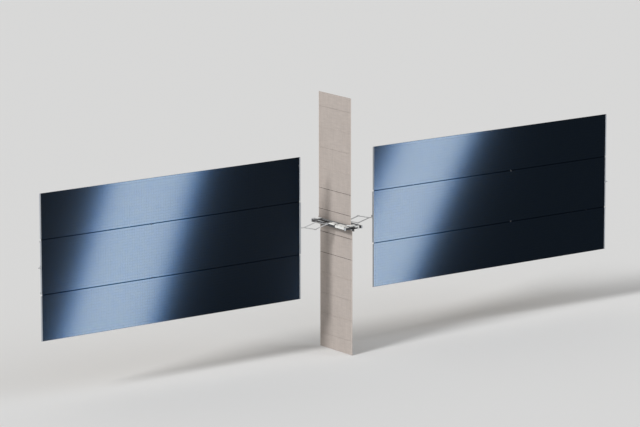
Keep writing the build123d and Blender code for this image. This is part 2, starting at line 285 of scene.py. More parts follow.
def mixColour(tree, share, first, second):
    mix = addNode(tree, "ShaderNodeMix", data_type="RGBA")
    for number, value in ((0, share), (6, first), (7, second)):
        fillSocket(tree, mix.inputs[number], value)
    return mix.outputs[2]


def tint(colour, factor):
    return tuple(min(1.0, part * factor) for part in colour)


def toneRamp(tree, field, colour, low, high):
    # from a darker to a lighter tone of one colour; low and high are each a place and a factor
    return rampOf(tree, field, *((place, tint(colour, factor)) for place, factor in (low, high)))


def metalNodes(tree, shader, colour, roughness, grainScale, grain=(1, 1, 1), metallic=1.0):
    # brushed or milled metal: the grain is stretched along the axis with the small scale
    fine = noiseField(tree, objectPlace(tree, grain), grainScale, 4.0, 0.6)
    broad = noiseField(tree, objectPlace(tree), 2.2)
    worn = mathNode(tree, "MULTIPLY_ADD", fine, 0.5, 0.25)
    tone = toneRamp(tree, worn, colour, (0.2, 0.86), (0.8, 1.1))
    stained = mixColour(tree, broad, tint(colour, 0.8), tone)
    rough = mapRange(tree, fine, roughness * 0.8, min(1.0, roughness * 1.25))
    coatShader(tree, shader, stained, rough, (fine, 0.35, 0.0006), metallic)


def paintNodes(tree, shader, colour, roughness):
    # thermal paint: fine spray texture, faint broad stains, a little paler on worn spots
    place = objectPlace(tree)
    broad = noiseField(tree, place, 3.1, 4.0, 0.6)
    fine = noiseField(tree, place, 900.0, 2.0)
    streak = noiseField(tree, objectPlace(tree, (6, 6, 0.7)), 4.0)
    stained = toneRamp(tree, broad, colour, (0.25, 0.88), (0.7, 1.0))
    streaked = toneRamp(tree, streak, colour, (0.3, 0.916), (0.62, 1.03))
    mixed = mixColour(tree, 0.5, stained, streaked)
    coatShader(tree, shader, mixed, roughness, (fine, 0.25, 0.0006), shine=0.35)


def filmNodes(tree, shader, colour, creaseScale, roughness):
    # creased insulation film: sharp folds from a stretched cell pattern over soft wrinkles
    place = objectPlace(tree)
    warp = noiseField(tree, place, creaseScale * 0.6)
    folds = addNode(tree, "ShaderNodeTexVoronoi", feature="DISTANCE_TO_EDGE")
    warped = mixColour(tree, 0.12, place, warp)
    fillInputs(tree, folds, {"Scale": creaseScale, "Vector": warped})
    soft = noiseField(tree, place, creaseScale * 1.7, 5.0, 0.62)
    edge = mathNode(tree, "MINIMUM", folds.outputs["Distance"], 0.12)
    height = mathNode(tree, "MULTIPLY_ADD", edge, 3.0, soft)
    tone = toneRamp(tree, soft, colour, (0.3, 0.7), (0.7, 1.4))
    coatShader(tree, shader, tone, roughness, (height, 0.7, 0.01))


def weaveNodes(tree, shader, colour, roughness, pitch, contrast=0.2):
    # a woven sleeve or a composite with crossed threads
    waves = []
    for turn in ((0.3, 0.2, 0.78), (0.3, 0.2, -0.78)):
        wave = addNode(tree, "ShaderNodeTexWave", wave_type="BANDS", wave_profile="SIN")
        place = objectPlace(tree, turn=turn)
        fillInputs(tree, wave, {"Scale": 1.0 / pitch, "Distortion": 0.4, "Vector": place})
        waves.append(wave.outputs["Fac"])
    woven = mathNode(tree, "MULTIPLY", *waves)
    broad = noiseField(tree, objectPlace(tree), 5.0)
    base = toneRamp(tree, woven, colour, (0.0, 1 - contrast), (0.6, 1 + contrast * 0.4))
    stained = mixColour(tree, broad, tint(colour, 0.88), base)
    coatShader(tree, shader, stained, roughness, (woven, 0.4, pitch * 0.2))


radiatorFinish = {
    "colour": (0.435, 0.385, 0.353),
    "roughness": 0.6,
    "tubePitch": 0.065,  # flow tubes under the face sheet show as faint level lines
    "tubeLine": 0.0045,
    "tubeDepth": 0.4,
    "railStart": 1.46,  # edge rails, outside this half width
    "railShare": 0.8,
}


def radiatorNodes(tree, shader, setup):
    colour = setup["colour"]
    place = objectPlace(tree)
    along = splitPlace(tree, place)
    broad = noiseField(tree, objectPlace(tree, (1, 0.9, 0.32)), 1.5, 4.0, 0.55)
    mottle = noiseField(tree, objectPlace(tree, (1, 0.35, 3.4)), 5.0, 4.0, 0.6)
    streak = noiseField(tree, objectPlace(tree, (1, 3.2, 0.3)), 4.0, 4.0, 0.65)
    fine = noiseField(tree, place, 420.0, 2.0)
    base = toneRamp(tree, broad, colour, (0.28, 0.86), (0.72, 1.07))
    patchy = toneRamp(tree, mottle, colour, (0.32, 0.78), (0.68, 1.18))
    streaked = toneRamp(tree, streak, colour, (0.32, 0.85), (0.68, 1.12))
    coat = mixColour(tree, 0.4, mixColour(tree, 0.5, base, patchy), streaked)
    tube = mathNode(tree, "PINGPONG", along["Z"], setup["tubePitch"] / 2)
    onTube = mathNode(tree, "LESS_THAN", tube, setup["tubeLine"])
    lineShare = mathNode(tree, "MULTIPLY", onTube, setup["tubeDepth"])
    lined = mixColour(tree, lineShare, coat, tint(colour, 0.78))
    across = mathNode(tree, "ABSOLUTE", along["Y"])
    onRail = mathNode(tree, "GREATER_THAN", across, setup["railStart"])
    railShare = mathNode(tree, "MULTIPLY", onRail, setup["railShare"])
    railed = mixColour(tree, railShare, lined, tint(colour, 1.38))
    ridge = mathNode(tree, "MULTIPLY_ADD", tube, 20.0, fine)
    coatShader(tree, shader, railed, setup["roughness"], (ridge, 0.3, 0.002), shine=0.3)


cellFinish = {
    "pitch": 0.158,
    "start": 2.6,
    "gap": 0.019,  # of a pitch, each side of a cell
    "binding": 0.121,  # of a pitch, how far the dark hem laps over the outer cells
    "corner": 0.085,  # cropped cell corners, of a pitch
    "busbars": 3.0,
    "busbarEdge": 0.478,  # of the way between two busbars, where a line begins
    "busbarShare": 0.2,
    "cell": (0.0067, 0.0110, 0.0171),
    "cellBlue": (0.0062, 0.0105, 0.0177),
    "gapColour": (0.0010, 0.0017, 0.0028),
    "busbar": (0.044, 0.062, 0.086),
    "hem": (0.0001, 0.0021, 0.0061),
    "back": (0.40, 0.265, 0.105),
    "backStart": 0.0015,  # what lies behind this y is film
    "roughness": 0.22,
    "backRoughness": 0.5,
}


def cellNodes(tree, shader, rows, rowStart, setup):
    # cells in rows and columns on the front face, a plain hem round them, polyimide film behind
    along = splitPlace(tree, addNode(tree, "ShaderNodeTexCoord").outputs["Object"])
    x, z = mathNode(tree, "ABSOLUTE", along["X"]), along["Z"]
    if rowStart > 0:
        z = mathNode(tree, "ABSOLUTE", z)
    u, v = (
        mathNode(tree, "DIVIDE", mathNode(tree, "SUBTRACT", place, start), setup["pitch"])
        for place, start in ((x, setup["start"]), (z, rowStart))
    )
    # gaps between the cells, with cropped corners
    uEdge, vEdge = (mathNode(tree, "PINGPONG", field, 0.5) for field in (u, v))
    inGap = mathNode(tree, "LESS_THAN", mathNode(tree, "MINIMUM", uEdge, vEdge), setup["gap"])
    inCorner = mathNode(tree, "LESS_THAN", mathNode(tree, "ADD", uEdge, vEdge), setup["corner"])
    gap = mathNode(tree, "MAXIMUM", inGap, inCorner)
    # each cell has its own tint and thin busbars
    cellId = addNode(tree, "ShaderNodeCombineXYZ")
    fillInputs(tree, cellId, {"X": mathNode(tree, "FLOOR", u), "Y": mathNode(tree, "FLOOR", v)})
    chance = addNode(tree, "ShaderNodeTexWhiteNoise", noise_dimensions="3D")
    tree.links.new(cellId.outputs[0], chance.inputs["Vector"])
    cell = mixColour(tree, chance.outputs["Value"], setup["cell"], setup["cellBlue"])
    bar = mathNode(tree, "PINGPONG", mathNode(tree, "MULTIPLY", v, setup["busbars"]), 0.5)
    onBar = mathNode(tree, "GREATER_THAN", bar, setup["busbarEdge"])
    barShare = mathNode(tree, "MULTIPLY", onBar, setup["busbarShare"])
    barred = mixColour(tree, barShare, cell, setup["busbar"])
    gapped = mixColour(tree, gap, barred, setup["gapColour"])
    # the hem above and below the rows
    middle = rows / 2
    beyond = mathNode(tree, "ABSOLUTE", mathNode(tree, "SUBTRACT", v, middle))
    inHem = mathNode(tree, "GREATER_THAN", beyond, middle - setup["binding"])
    hemmed = mixColour(tree, inHem, gapped, setup["hem"])
    # the film behind
    behind = mathNode(tree, "GREATER_THAN", along["Y"], setup["backStart"])
    shade = noiseField(tree, objectPlace(tree, (0.6, 1, 1)), 7.0, 4.0)
    film = toneRamp(tree, shade, setup["back"], (0.25, 0.72), (0.75, 1.25))
    halfGap = mathNode(tree, "MULTIPLY", inGap, 0.5)
    gappedFilm = mixColour(tree, halfGap, film, tint(setup["back"], 0.4))
    colour = mixColour(tree, behind, hemmed, gappedFilm)
    front, face = (mathNode(tree, "SUBTRACT", 1.0, field) for field in (behind, gap))
    rough = mapRange(tree, front, setup["backRoughness"], setup["roughness"])
    coatShader(tree, shader, colour, rough, (face, 0.2, 0.001), front, 0.15)


def dullNodes(tree, shader, colour):
    # black tape, anodised light traps and the near-black strips of painted seam shade on the
    # radiators: hardly any shine, a little dust
    place = objectPlace(tree)
    dust = noiseField(tree, place, 30.0, 4.0, 0.6)
    dusty = toneRamp(tree, dust, colour, (0.3, 1.0), (0.8, 1.9))
    fine = noiseField(tree, place, 260.0, 2.0)
    coatShader(tree, shader, dusty, 0.85, (fine, 0.3, 0.0005), shine=0.0)


def lensNodes(tree, shader, blue, violet):
    # coated glass
    coating = noiseField(tree, objectPlace(tree), 12.0, 2.0)
    coatShader(tree, shader, rampOf(tree, coating, (0.3, blue), (0.7, violet)), 0.06)
    fillInputs(tree, shader, {"Coat Weight": 1.0, "Coat Roughness": 0.03})


# how the nodes are laid, and the values for it, in the order that it takes them
finishRows = {
    "trayFilm": (filmNodes, (0.020, 0.021, 0.024), 7.0, 0.34),
    "railMetal": (metalNodes, (0.13, 0.13, 0.138), 0.42, 90.0, (1, 0.05, 1)),
    "lightMetal": (metalNodes, (0.70, 0.73, 0.76), 0.40, 80.0, (1, 1, 0.06)),
    "whitePaint": (paintNodes, (0.80, 0.80, 0.78), 0.55),
    "whiteWrap": (weaveNodes, (0.88, 0.88, 0.865), 0.8, 0.006),
    "blackAnodised": (metalNodes, (0.035, 0.035, 0.038), 0.48, 60.0, (1, 1, 1), 0.6),
    "thrusterMetal": (metalNodes, (0.42, 0.39, 0.35), 0.38, 140.0),
    "radiatorCoat": (radiatorNodes, radiatorFinish),
    "boomComposite": (weaveNodes, (0.58, 0.59, 0.61), 0.45, 0.009, 0.10),
    "mastComposite": (weaveNodes, (0.17, 0.175, 0.185), 0.4, 0.012, 0.3),
    "cellsMiddle": (cellNodes, 19, -1.501, cellFinish),
    "cellsOuter": (cellNodes, 16, 1.525, cellFinish),
    "fastener": (metalNodes, (0.62, 0.61, 0.59), 0.3, 300.0),
    "amberFilm": (filmNodes, (0.42, 0.24, 0.05), 40.0, 0.35),
    # near-black; it also paints the shade in the radiators' seams
    "blackTapeAndSeamShade": (dullNodes, (0.0045, 0.0048, 0.0055)),
    "lensGlass": (lensNodes, (0.010, 0.014, 0.030), (0.030, 0.020, 0.045)),
    "barMetal": (metalNodes, (0.50, 0.53, 0.57), 0.45, 80.0, (1, 1, 0.06), 0.5),
    "clipMetal": (metalNodes, (0.11, 0.118, 0.13), 0.5, 200.0),
    "harnessBlack": (weaveNodes, (0.035, 0.035, 0.038), 0.55, 0.003, 0.3),
}
finishes = {name: newMaterial(name, *row) for name, row in finishRows.items()}

# the finish of each CAD node, by the longest of these that its name starts with
cadFinish = {
    "bus_tray": "trayFilm",
    "rail": "railMetal",
    "corner_fittings": "lightMetal",
    "hood": "whitePaint",
    "case": "whitePaint",
    "coolant_line": "whiteWrap",
    "lower_unions": "blackAnodised",
    "star_trackers": "boomComposite",
    "thruster": "thrusterMetal",
    "wing_drives": "lightMetal",
    "radiator_root": "lightMetal",
    "radiator": "radiatorCoat",
    "yoke": "boomComposite",
    "mast": "mastComposite",
    "root_bar": "barMetal",
    "tip_bar": "barMetal",
    "blanket_middle": "cellsMiddle",
    "blanket": "cellsOuter",
    "seam_clips": "clipMetal",
}


def dressNodes():
    for name, node in nodes.items():
        key = max((k for k in cadFinish if name.startswith(k)), key=len)
        material = finishes[cadFinish[key]]
        for slot in node.material_slots:
            slot.material = material
        if not node.material_slots:
            node.data.materials.append(material)


dressNodes()
print("finishes made:", len(finishes))


def newPiece(bm, name, body, finish, smooth=False):
    bmesh.ops.recalc_face_normals(bm, faces=bm.faces)
    mesh = bpy.data.meshes.new(name)
    for face in bm.faces:
        face.smooth = smooth
    bm.to_mesh(mesh)
    bm.free()
    mesh.materials.append(finishes[finish])
    piece = addObject(name, mesh)
    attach(piece, body)


def spread(first, last, count):
    # places at equal steps, both ends included
    return [first + (last - first) * number / count for number in range(count + 1)]


def fourCorners(x, z, dx, dz):
    return [(x + sx * dx, z + sz * dz) for sx in (-1, 1) for sz in (-1, 1)]


def boltCircle(radius, count=8):
    # places round an axis, the first one half a step on
    turns = [math.radians(360 / count * (number + 0.5)) for number in range(count)]
    return [(radius * math.cos(turn), radius * math.sin(turn)) for turn in turns]


def addBox(bm, low, high, edge=0.0, segments=1):
    size = [b - a for a, b in zip(low, high)]
    middle = [(a + b) / 2 for a, b in zip(low, high)]
    shape = Matrix.Translation(middle) @ Matrix.Diagonal((*size, 1))
    verts = bmesh.ops.create_cube(bm, size=1.0, matrix=shape)["verts"]
    if edge:
        bevelEdges(bm, {e for v in verts for e in v.link_edges}, edge, segments)
    return verts


def bevelEdges(bm, edges, width, segments):
    bmesh.ops.bevel(
        bm,
        geom=list(edges),
        offset=width,
        segments=segments,
        profile=0.5,
        affect="EDGES",
        material=-1,
    )


def addRod(bm, start, end, radius, sides=10, endRadius=None):
    way = Vector(end) - Vector(start)
    turn = way.to_track_quat("Z", "Y").to_matrix().to_4x4()
    bmesh.ops.create_cone(
        bm,
        cap_ends=True,
        segments=sides,
        radius1=radius,
        radius2=radius if endRadius is None else endRadius,
        depth=way.length,
        matrix=Matrix.Translation((Vector(start) + Vector(end)) / 2) @ turn,
    )


def addPin(bm, foot, reach, radius, sides=10, endRadius=None):
    addRod(bm, foot, Vector(foot) + Vector(reach), radius, sides, endRadius)


boltSizes = {"fine": 0.010, "small": 0.011, "medium": 0.012, "plain": 0.013, "large": 0.014}


def addBolt(bm, place, outward, kind="plain"):
    # washer and hexagon head
    size = boltSizes[kind]
    way = Vector(outward).normalized() * size
    addPin(bm, place, way * 0.18, size * 0.72, 8)
    addPin(bm, Vector(place) + way * 0.18, way * 0.44, size * 0.5, 6)


def addTube(bm, points, radius, sides=8):
    # a bent pipe: one ring of edges carried along the points, with closed ends
    points = [Vector(p) for p in points]
    ways = [(b - a).normalized() for a, b in zip(points, points[1:])]
    rings = []
    for point, before, after in zip(points, ways[:1] + ways, ways + ways[-1:]):
        turn = (before + after).normalized().to_track_quat("Z", "X").to_matrix().to_4x4()
        place = Matrix.Translation(point) @ turn
        made = bmesh.ops.create_circle(
            bm, cap_ends=False, segments=sides, radius=radius, matrix=place
        )
        rings.append(set(made["verts"]))
    loops = [[e for e in bm.edges if e.verts[0] in ring and e.verts[1] in ring] for ring in rings]
    for first, second in zip(loops, loops[1:]):
        bmesh.ops.bridge_loops(bm, edges=first + second)
    for loop in (loops[0], loops[-1]):
        bmesh.ops.contextual_create(bm, geom=loop)


def addRing(bm, centre, axis, inner, outer, thick, sides=24):
    # a flat ring: four circles joined into a closed band
    way = Vector(axis).normalized()
    turn = way.to_track_quat("Z", "X").to_matrix().to_4x4()
    loops = []
    for radius, lift in ((inner, 0), (outer, 0), (outer, thick), (inner, thick)):
        place = Matrix.Translation(Vector(centre) + way * lift) @ turn
        made = bmesh.ops.create_circle(
            bm, cap_ends=False, segments=sides, radius=radius, matrix=place
        )
        ring = set(made["verts"])
        loops.append(list({e for v in ring for e in v.link_edges if e.other_vert(v) in ring}))
    for first, second in zip(loops, loops[1:] + loops[:1]):
        bmesh.ops.bridge_loops(bm, edges=first + second)


def addStrap(bm, low, high, radius):
    # a band over a housing whose long top edges are rounded
    verts = addBox(bm, low, high)
    near = 1e-6
    edges = {
        e
        for v in verts
        for e in v.link_edges
        if all(abs(w.co.z - high[2]) < near for w in e.verts)
        and abs(e.verts[0].co.x - e.verts[1].co.x) < near
    }
    bevelEdges(bm, edges, radius, 8)


def addHandle(bm, start, end, rise, radius):
    a, b, up = Vector(start), Vector(end), Vector(rise)
    way = (b - a).normalized() * 0.012
    addTube(bm, (a, a + up * 0.7, a + up + way, b + up - way, b + up * 0.7, b), radius)
    for foot in (a, b):
        addPin(bm, foot, up * 0.12, radius * 2.1)


def addFrame(bm, x, z, outer, wall, nearY, farY, lap=0.0, edge=0.0):
    # four bars round a square opening that faces along Y
    middle, half = outer - wall / 2, wall / 2
    for sign in (-1, 1):
        for dx, dz, sx, sz in (
            (0, sign * middle, outer, half),
            (sign * middle, 0, half, outer - lap),
        ):
            low = (x + dx - sx, nearY, z + dz - sz)
            high = (x + dx + sx, farY, z + dz + sz)
            addBox(bm, low, high, edge)


# Radiators: screws, rivets and dark strips of painted seam shade, that ride on their own panels
radiatorDetail = {
    "planes": {"upper": -0.14, "lower": -0.04},  # middle plane of the panels
    "roots": {"upper": 0.085, "lower": 0.205},  # root axis, from the wing axis
    "firstSeams": {"upper": 0.65, "lower": 0.73},
    "lastPanels": {"upper": 0.816, "lower": 0.798},
    "panels": 7,
    "pitch": 1.17,
    "rootGap": 0.010,
    "seamGap": 0.006,
    "railMiddle": 1.481,
    "railFace": 0.013,
    "skin": 0.011,
    "railScrews": 9,
    "rivetReach": 1.40,
    "rivets": 28,
    "rivetLift": 0.034,
    "rivetRadius": 0.0035,
    "rivetHeight": 0.0018,
    "hingeLift": 0.020,  # hinge axis, outside the panel's middle plane
    "cap": (1.4545, 1.497, 0.0062),  # start, end and radius
    "capRing": (1.470, 1.478, 0.006572),
    "shadeStripSpan": (0.026, 0.006),  # painted shade: a dark strip under the first leaf, from the panel's end
    "shadeLap": 0.004,
    "shadeOver": 0.0015,
    "shadeThick": 0.0005,
    "skinEnd": 1.459,
    "railSpan": (1.4605, 1.5016),
}


def panelSpan(level, index, setup):
    # nearest and farthest z of a panel from the wing axis, its seam gaps left out
    seam = setup["firstSeams"][level] + setup["pitch"] * (index - 1)
    start = seam + setup["seamGap"]
    end = seam + setup["pitch"] - setup["seamGap"]
    if index == 0:
        start = setup["roots"][level] + setup["rootGap"]
    if index == setup["panels"] - 1:
        end = seam + setup["lastPanels"][level]
    return start, end


def newPanelPiece(bm, kind, level, index, finish):
    number = index + 1
    newPiece(bm, f"{kind}_{level}_{number}", f"panel_{level}_{number}", finish)


def makeRailScrews(level, index, setup):
    plane = setup["planes"][level]
    start, end = panelSpan(level, index, setup)
    bm = bmesh.new()
    half = (end - start) / setup["railScrews"] / 2
    for z in spread(start + half, end - half, setup["railScrews"] - 1):
        for face in (-1, 1):
            for side in (-1, 1):
                place = (
                    plane + face * setup["railFace"],
                    side * setup["railMiddle"],
                    levels[level] * z,
                )
                addBolt(bm, place, (face, 0, 0), "small")
    newPanelPiece(bm, "railScrews", level, index, "fastener")


def makeHingeRivets(level, index, setup):
    # a row of rivets behind the hinge leaf, and round caps on the ends of its tube
    plane, up = setup["planes"][level], levels[level]
    start, end = panelSpan(level, index, setup)
    side = -1 if index % 2 else 1
    face = plane + side * setup["skin"]
    z = up * (start + setup["rivetLift"])
    bm = bmesh.new()
    for y in spread(-setup["rivetReach"], setup["rivetReach"], setup["rivets"]):
        addPin(bm, (face, y, z), (side * setup["rivetHeight"], 0, 0), setup["rivetRadius"], 6)
    if index < setup["panels"] - 1:
        x = plane - side * setup["hingeLift"]
        z = up * (end + setup["seamGap"])
        for ySide in (-1, 1):
            for y0, y1, radius in (setup["cap"], setup["capRing"]):
                addRod(bm, (x, ySide * y0, z), (x, ySide * y1, z), radius)
    newPanelPiece(bm, "hingeRivets", level, index, "fastener")


def makeSeamShade(level, index, setup):
    # painted seam shade: dark strips at the seams that show as lines, the second one has them on
    # both panels, and a flat strip runs under the leaf of the first one
    plane = setup["planes"][level]
    start, end = panelSpan(level, index, setup)
    far, near = setup["shadeStripSpan"]
    lap, over, thick = setup["shadeLap"], setup["shadeOver"], setup["shadeThick"]
    spans = {
        0: (end - far, end - near),
        1: (end - lap, end + over),
        2: (start - over, start + lap),
    }
    if index not in spans:
        return
    z0, z1 = sorted(levels[level] * z for z in spans[index])
    y0, y1 = setup["railSpan"]
    bm = bmesh.new()
    for low, high, half in (
        (-setup["skinEnd"], setup["skinEnd"], setup["skin"]),
        (-y1, -y0, setup["railFace"]),
        (y0, y1, setup["railFace"]),
    ):
        back = plane - half + 2 * thick if index == 0 else plane + half + thick
        addBox(bm, (plane - half - thick, low, z0), (back, high, z1))
    newPanelPiece(bm, "blackTapeAndSeamShade", level, index, "blackTapeAndSeamShade")


for level in levels:
    for index in range(radiatorDetail["panels"]):
        makeRailScrews(level, index, radiatorDetail)
        makeHingeRivets(level, index, radiatorDetail)
        makeSeamShade(level, index, radiatorDetail)
print("radiator details made")

# Wings: tapes along the seams, clamp strips and bolts on the bars, mast guides, harness
wingDetail = {
    "start": cellFinish["start"],  # first and last edge of the cells
    "end": cellFinish["start"] + 108 * cellFinish["pitch"],
    "seam": 1.513,
    "bays": 12,
    "bayWidth": 9 * cellFinish["pitch"],  # from batten to batten
    "rootWidth": 0.09,
    "barWidth": 0.06,
    "barFace": 0.03,
    "barSpans": {
        "middle": ((-1.45, -0.10), (0.10, 1.45)),
        "upper": ((1.575, 4.04),),
        "lower": ((-4.04, -1.575),),
    },
    "barBolts": (0.06, 0.42),  # distance from the bar's end, and the step
    "clampGap": 0.002,
    "clampWidth": 0.022,
    "clampThick": 0.003,
    "clampScrews": (0.02, 0.26),
    "tapeReach": (0.0075, 0.0045),  # how far the seam tape reaches inwards and outwards
    "tapeFaces": (-0.0028, 0.0012),
    "flapReach": 0.0095,
    "flapFaces": (0.0021, 0.0029),
    "cableWidth": 0.034,
    "cableFaces": (0.0020, 0.0036),
    "crossing": (0.018, 0.0049, 0.0062),  # half length and faces, where a cable crosses a batten
    "cableClip": (0.008, 0.0060, 0.0080),  # the same of a clip
    "cableLines": {"middle": (-1.46, 1.46), "upper": (1.57, 4.01), "lower": (-1.57, -4.01)},
    "clipColumn": 63,
    "clipZ": 1.484,
    "clipScrews": 0.032,
    "tipFace": 0.024,
    "tipBolts": (0.014, 0.058),
    "tipRollers": ((0.0, 0.020, 0.036), (0.082, 0.016, 0.0305)),  # start, length and radius
    "tipPads": 0.036,
}


def newWingPiece(bm, kind, name, finish, strip="middle"):
    # drawn for the right wing and mirrored for the left one
    if sides[name] < 0:
        bmesh.ops.scale(bm, vec=(-1, 1, 1), verts=bm.verts)
    body = f"wing_{name}" if strip == "middle" else f"strip_{strip}_{name}"
    newPiece(bm, f"{kind}_{name}", body, finish)


def bayStretches(gap, endGap, setup):
    # the stretches of a blanket between its battens
    stretches = []
    for bay in range(setup["bays"]):
        x = setup["start"] + bay * setup["bayWidth"]
        after = gap if bay < setup["bays"] - 1 else endGap
        stretches.append((x + (gap if bay else endGap), x + setup["bayWidth"] - after))
    return stretches


def makeWingSeamTapes(name, setup):
    inwards, outwards = setup["tapeReach"]
    front, back = setup["tapeFaces"]
    flapFront, flapBack = setup["flapFaces"]
    bm = bmesh.new()
    for up in (-1, 1):
        z0, z1 = sorted((up * (setup["seam"] - inwards), up * (setup["seam"] + outwards)))
        addBox(bm, (setup["start"], front, z0), (setup["end"], back, z1))
        # a flap behind the seam, between the battens, keeps light out of the gap
        z0, z1 = (up * setup["seam"] + reach for reach in (-setup["flapReach"], setup["flapReach"]))
        for x0, x1 in bayStretches(0.013, 0.002, setup):
            addBox(bm, (x0, flapFront, z0), (x1, flapBack, z1))
    newWingPiece(bm, "seamTapes", name, "blackTapeAndSeamShade")


def makeBarClamps(name, strip, setup):
    # clamp strips beside the cells with their screws, and bolts on the outer faces of the bars
    half = setup["clampWidth"] / 2
    offset = setup["clampGap"] + half
    rootWidth = setup["rootWidth"] if strip == "middle" else setup["barWidth"]
    screwMargin, screwStep = setup["clampScrews"]
    boltMargin, boltStep = setup["barBolts"]
    bm = bmesh.new()
    for low, high in setup["barSpans"][strip]:
        screws = max(2, round((high - low) / screwStep))
        bolts = max(2, round((high - low) / boltStep))
        for x in (setup["start"] - offset, setup["end"] + offset):
            for face in (-1, 1):
                foot = face * setup["barFace"]
                top = foot + face * setup["clampThick"]
                y0, y1 = sorted((foot, top))
                addBox(bm, (x - half, y0, low), (x + half, y1, high), 0.0008)
                for z in spread(low + screwMargin, high - screwMargin, screws):
                    addPin(bm, (x, top, z), (0, face * 0.0018, 0), 0.006, 6)
        for x, way in ((setup["start"] - rootWidth, -1), (setup["end"] + setup["barWidth"], 1)):
            for z in spread(low + boltMargin, high - boltMargin, bolts):
                addBolt(bm, (x, 0.0, z), (way, 0, 0))
    newWingPiece(bm, f"barClamps_{strip}", name, "barMetal", strip)


hingeDetail = {
    "layer": 0.036,  # depth of one folded strip
    "barMiddle": 0.03,
    "drumRadius": 0.0078,
    "drumTurns": 4,
    "drumStart": 0.0150,
    "drumStep": 0.0022,
    "wire": 0.0016,
    "pinHead": (0.0178, 0.0037, 0.0075),  # start, length and radius
    "latchSpan": (0.16, 0.05),  # from the seam
    "latchFaces": (0.03, 0.058),
    "latchHalf": 0.022,
    "boltRadius": 0.007,
}


def makeSeamHinges(name, wing, setup):
    # spring drums round the seam pins and a latch body on the end of each middle bar
    bm = bmesh.new()
    far, near = setup["latchSpan"]
    front, back = setup["latchFaces"]
    half = setup["latchHalf"]
    head, length, headRadius = setup["pinHead"]
    for x in (wing["start"] - setup["barMiddle"], wing["end"] + setup["barMiddle"]):
        for up, layer in ((1, 1), (-1, 2)):
            y, z = -layer * setup["layer"], up * wing["seam"]
            for turn in range(setup["drumTurns"]):
                coil = x - setup["drumStart"] - turn * setup["drumStep"]
                addPin(bm, (coil, y, z), (-setup["wire"], 0, 0), setup["drumRadius"])
            addPin(bm, (x + head, y, z), (length, 0, 0), headRadius, 6)
            z0, z1 = sorted((z - up * far, z - up * near))
            addBox(bm, (x - half, front, z0), (x + half, back, z1), 0.004, 2)
            for share in (0.2, 0.8):
                addBolt(bm, (x, back, z0 + (z1 - z0) * share), (0, 1, 0), "medium")
            pin = (front + back) / 2
            addRod(bm, (x, pin, z - up * near), (x, pin, z - up * 0.034), setup["boltRadius"], 8)
    newWingPiece(bm, "seamHinges", name, "railMetal")


mastDetail = {
    "axisY": 0.128,
    "canisterEnd": 3.254,
    "canisterHalf": 0.084,
    "bands": (2.68, 2.93, 3.19),
    "bandWidth": 0.03,
    "bandThick": 0.004,
    "bandBolts": 0.045,
    "gearbox": (2.72, 2.86),
    "gearboxHalf": 0.045,
    "motorEnd": 3.04,
    "motorDrop": 0.035,
    "motorRadius": 0.030,
    "plug": (0.015, 0.022),  # length and radius
    "stages": 7,
    "mastEnd": 19.648,
    "rootHalf": 0.062,
    "tipHalf": 0.032,
    "collar": 0.007,
    "collarLength": 0.07,
    "strutRadius": 0.0022,
    "strutReach": 0.92,
    "lug": (0.014, 0.018),
    "lugFaces": (0.0048, 0.0135),
}


def collarPlaces(setup):
    run = (setup["mastEnd"] - setup["canisterEnd"]) / setup["stages"]
    shrink = (setup["rootHalf"] - setup["tipHalf"]) / (setup["stages"] - 1)
    places = []
    for stage in range(setup["stages"] - 1):
        end = setup["canisterEnd"] + (stage + 1) * run
        half = setup["rootHalf"] - stage * shrink + setup["collar"]
        places.append((end - setup["collarLength"], end, half))
    return places


def makeMastFittings(name, setup):
    half, y = setup["canisterHalf"], setup["axisY"]
    reach = half + setup["bandThick"]
    bm = bmesh.new()
    for x in setup["bands"]:
        end = x + setup["bandWidth"]
        addBox(bm, (x, y - reach, -reach), (end, y + reach, reach), 0.016)
        for zSide in (-1, 1):
            for bolt in (y - setup["bandBolts"], y + setup["bandBolts"]):
                addBolt(bm, ((x + end) / 2, bolt, zSide * reach), (0, 0, zSide), "large")
    # extension motor and gearbox under the canister
    x0, x1 = setup["gearbox"]
    x2, wide = setup["motorEnd"], setup["gearboxHalf"]
    length, radius = setup["plug"]
    z = -half - setup["motorDrop"]
    addBox(bm, (x0, y - wide, z - setup["motorDrop"]), (x1, y + wide, -half), 0.006, 2)
    addRod(bm, (x1, y, z), (x2, y, z), setup["motorRadius"], 20)
    addPin(bm, (x2, y, z), (length, 0, 0), radius, 16)
    for x0, x1, reach in collarPlaces(setup):
        for way in ((0, 1, 0), (0, 0, 1), (0, 0, -1)):
            outward = Vector(way)
            centre = Vector(((x0 + x1) / 2, y, 0)) + outward * reach
            across = outward.cross(Vector((1, 0, 0))) * reach * 0.5
            for place in (centre - across, centre + across):
                addBolt(bm, place, outward)
        for z0, z1 in ((reach - 0.006, reach + 0.004), (-reach - 0.004, -reach + 0.006)):
            addBox(bm, (x1, y - 0.018, z0), (x1 + 0.03, y + 0.018, z1), 0.002)
    newWingPiece(bm, "mastFittings", name, "railMetal")


def makeBlanketStruts(name, wing, setup):
    # thin struts from the mast collars to lugs on the battens, which keep the middle strip flat
    bm = bmesh.new()
    dx, dz = setup["lug"]
    front, back = setup["lugFaces"]
    for x0, x1, reach in collarPlaces(setup):
        middle = (x0 + x1) / 2
        nearest = round((middle - wing["start"]) / wing["bayWidth"])
        batten = wing["start"] + nearest * wing["bayWidth"]
        for up in (-1, 1):
            top = (middle, setup["axisY"], up * reach * 0.9)
            z = up * setup["strutReach"]
            addRod(bm, top, (batten, 0.010, z), setup["strutRadius"], 6)
            addBox(bm, (batten - dx, front, z - dz), (batten + dx, back, z + dz), 0.002)
    newWingPiece(bm, "blanketLines", name, "fastener")


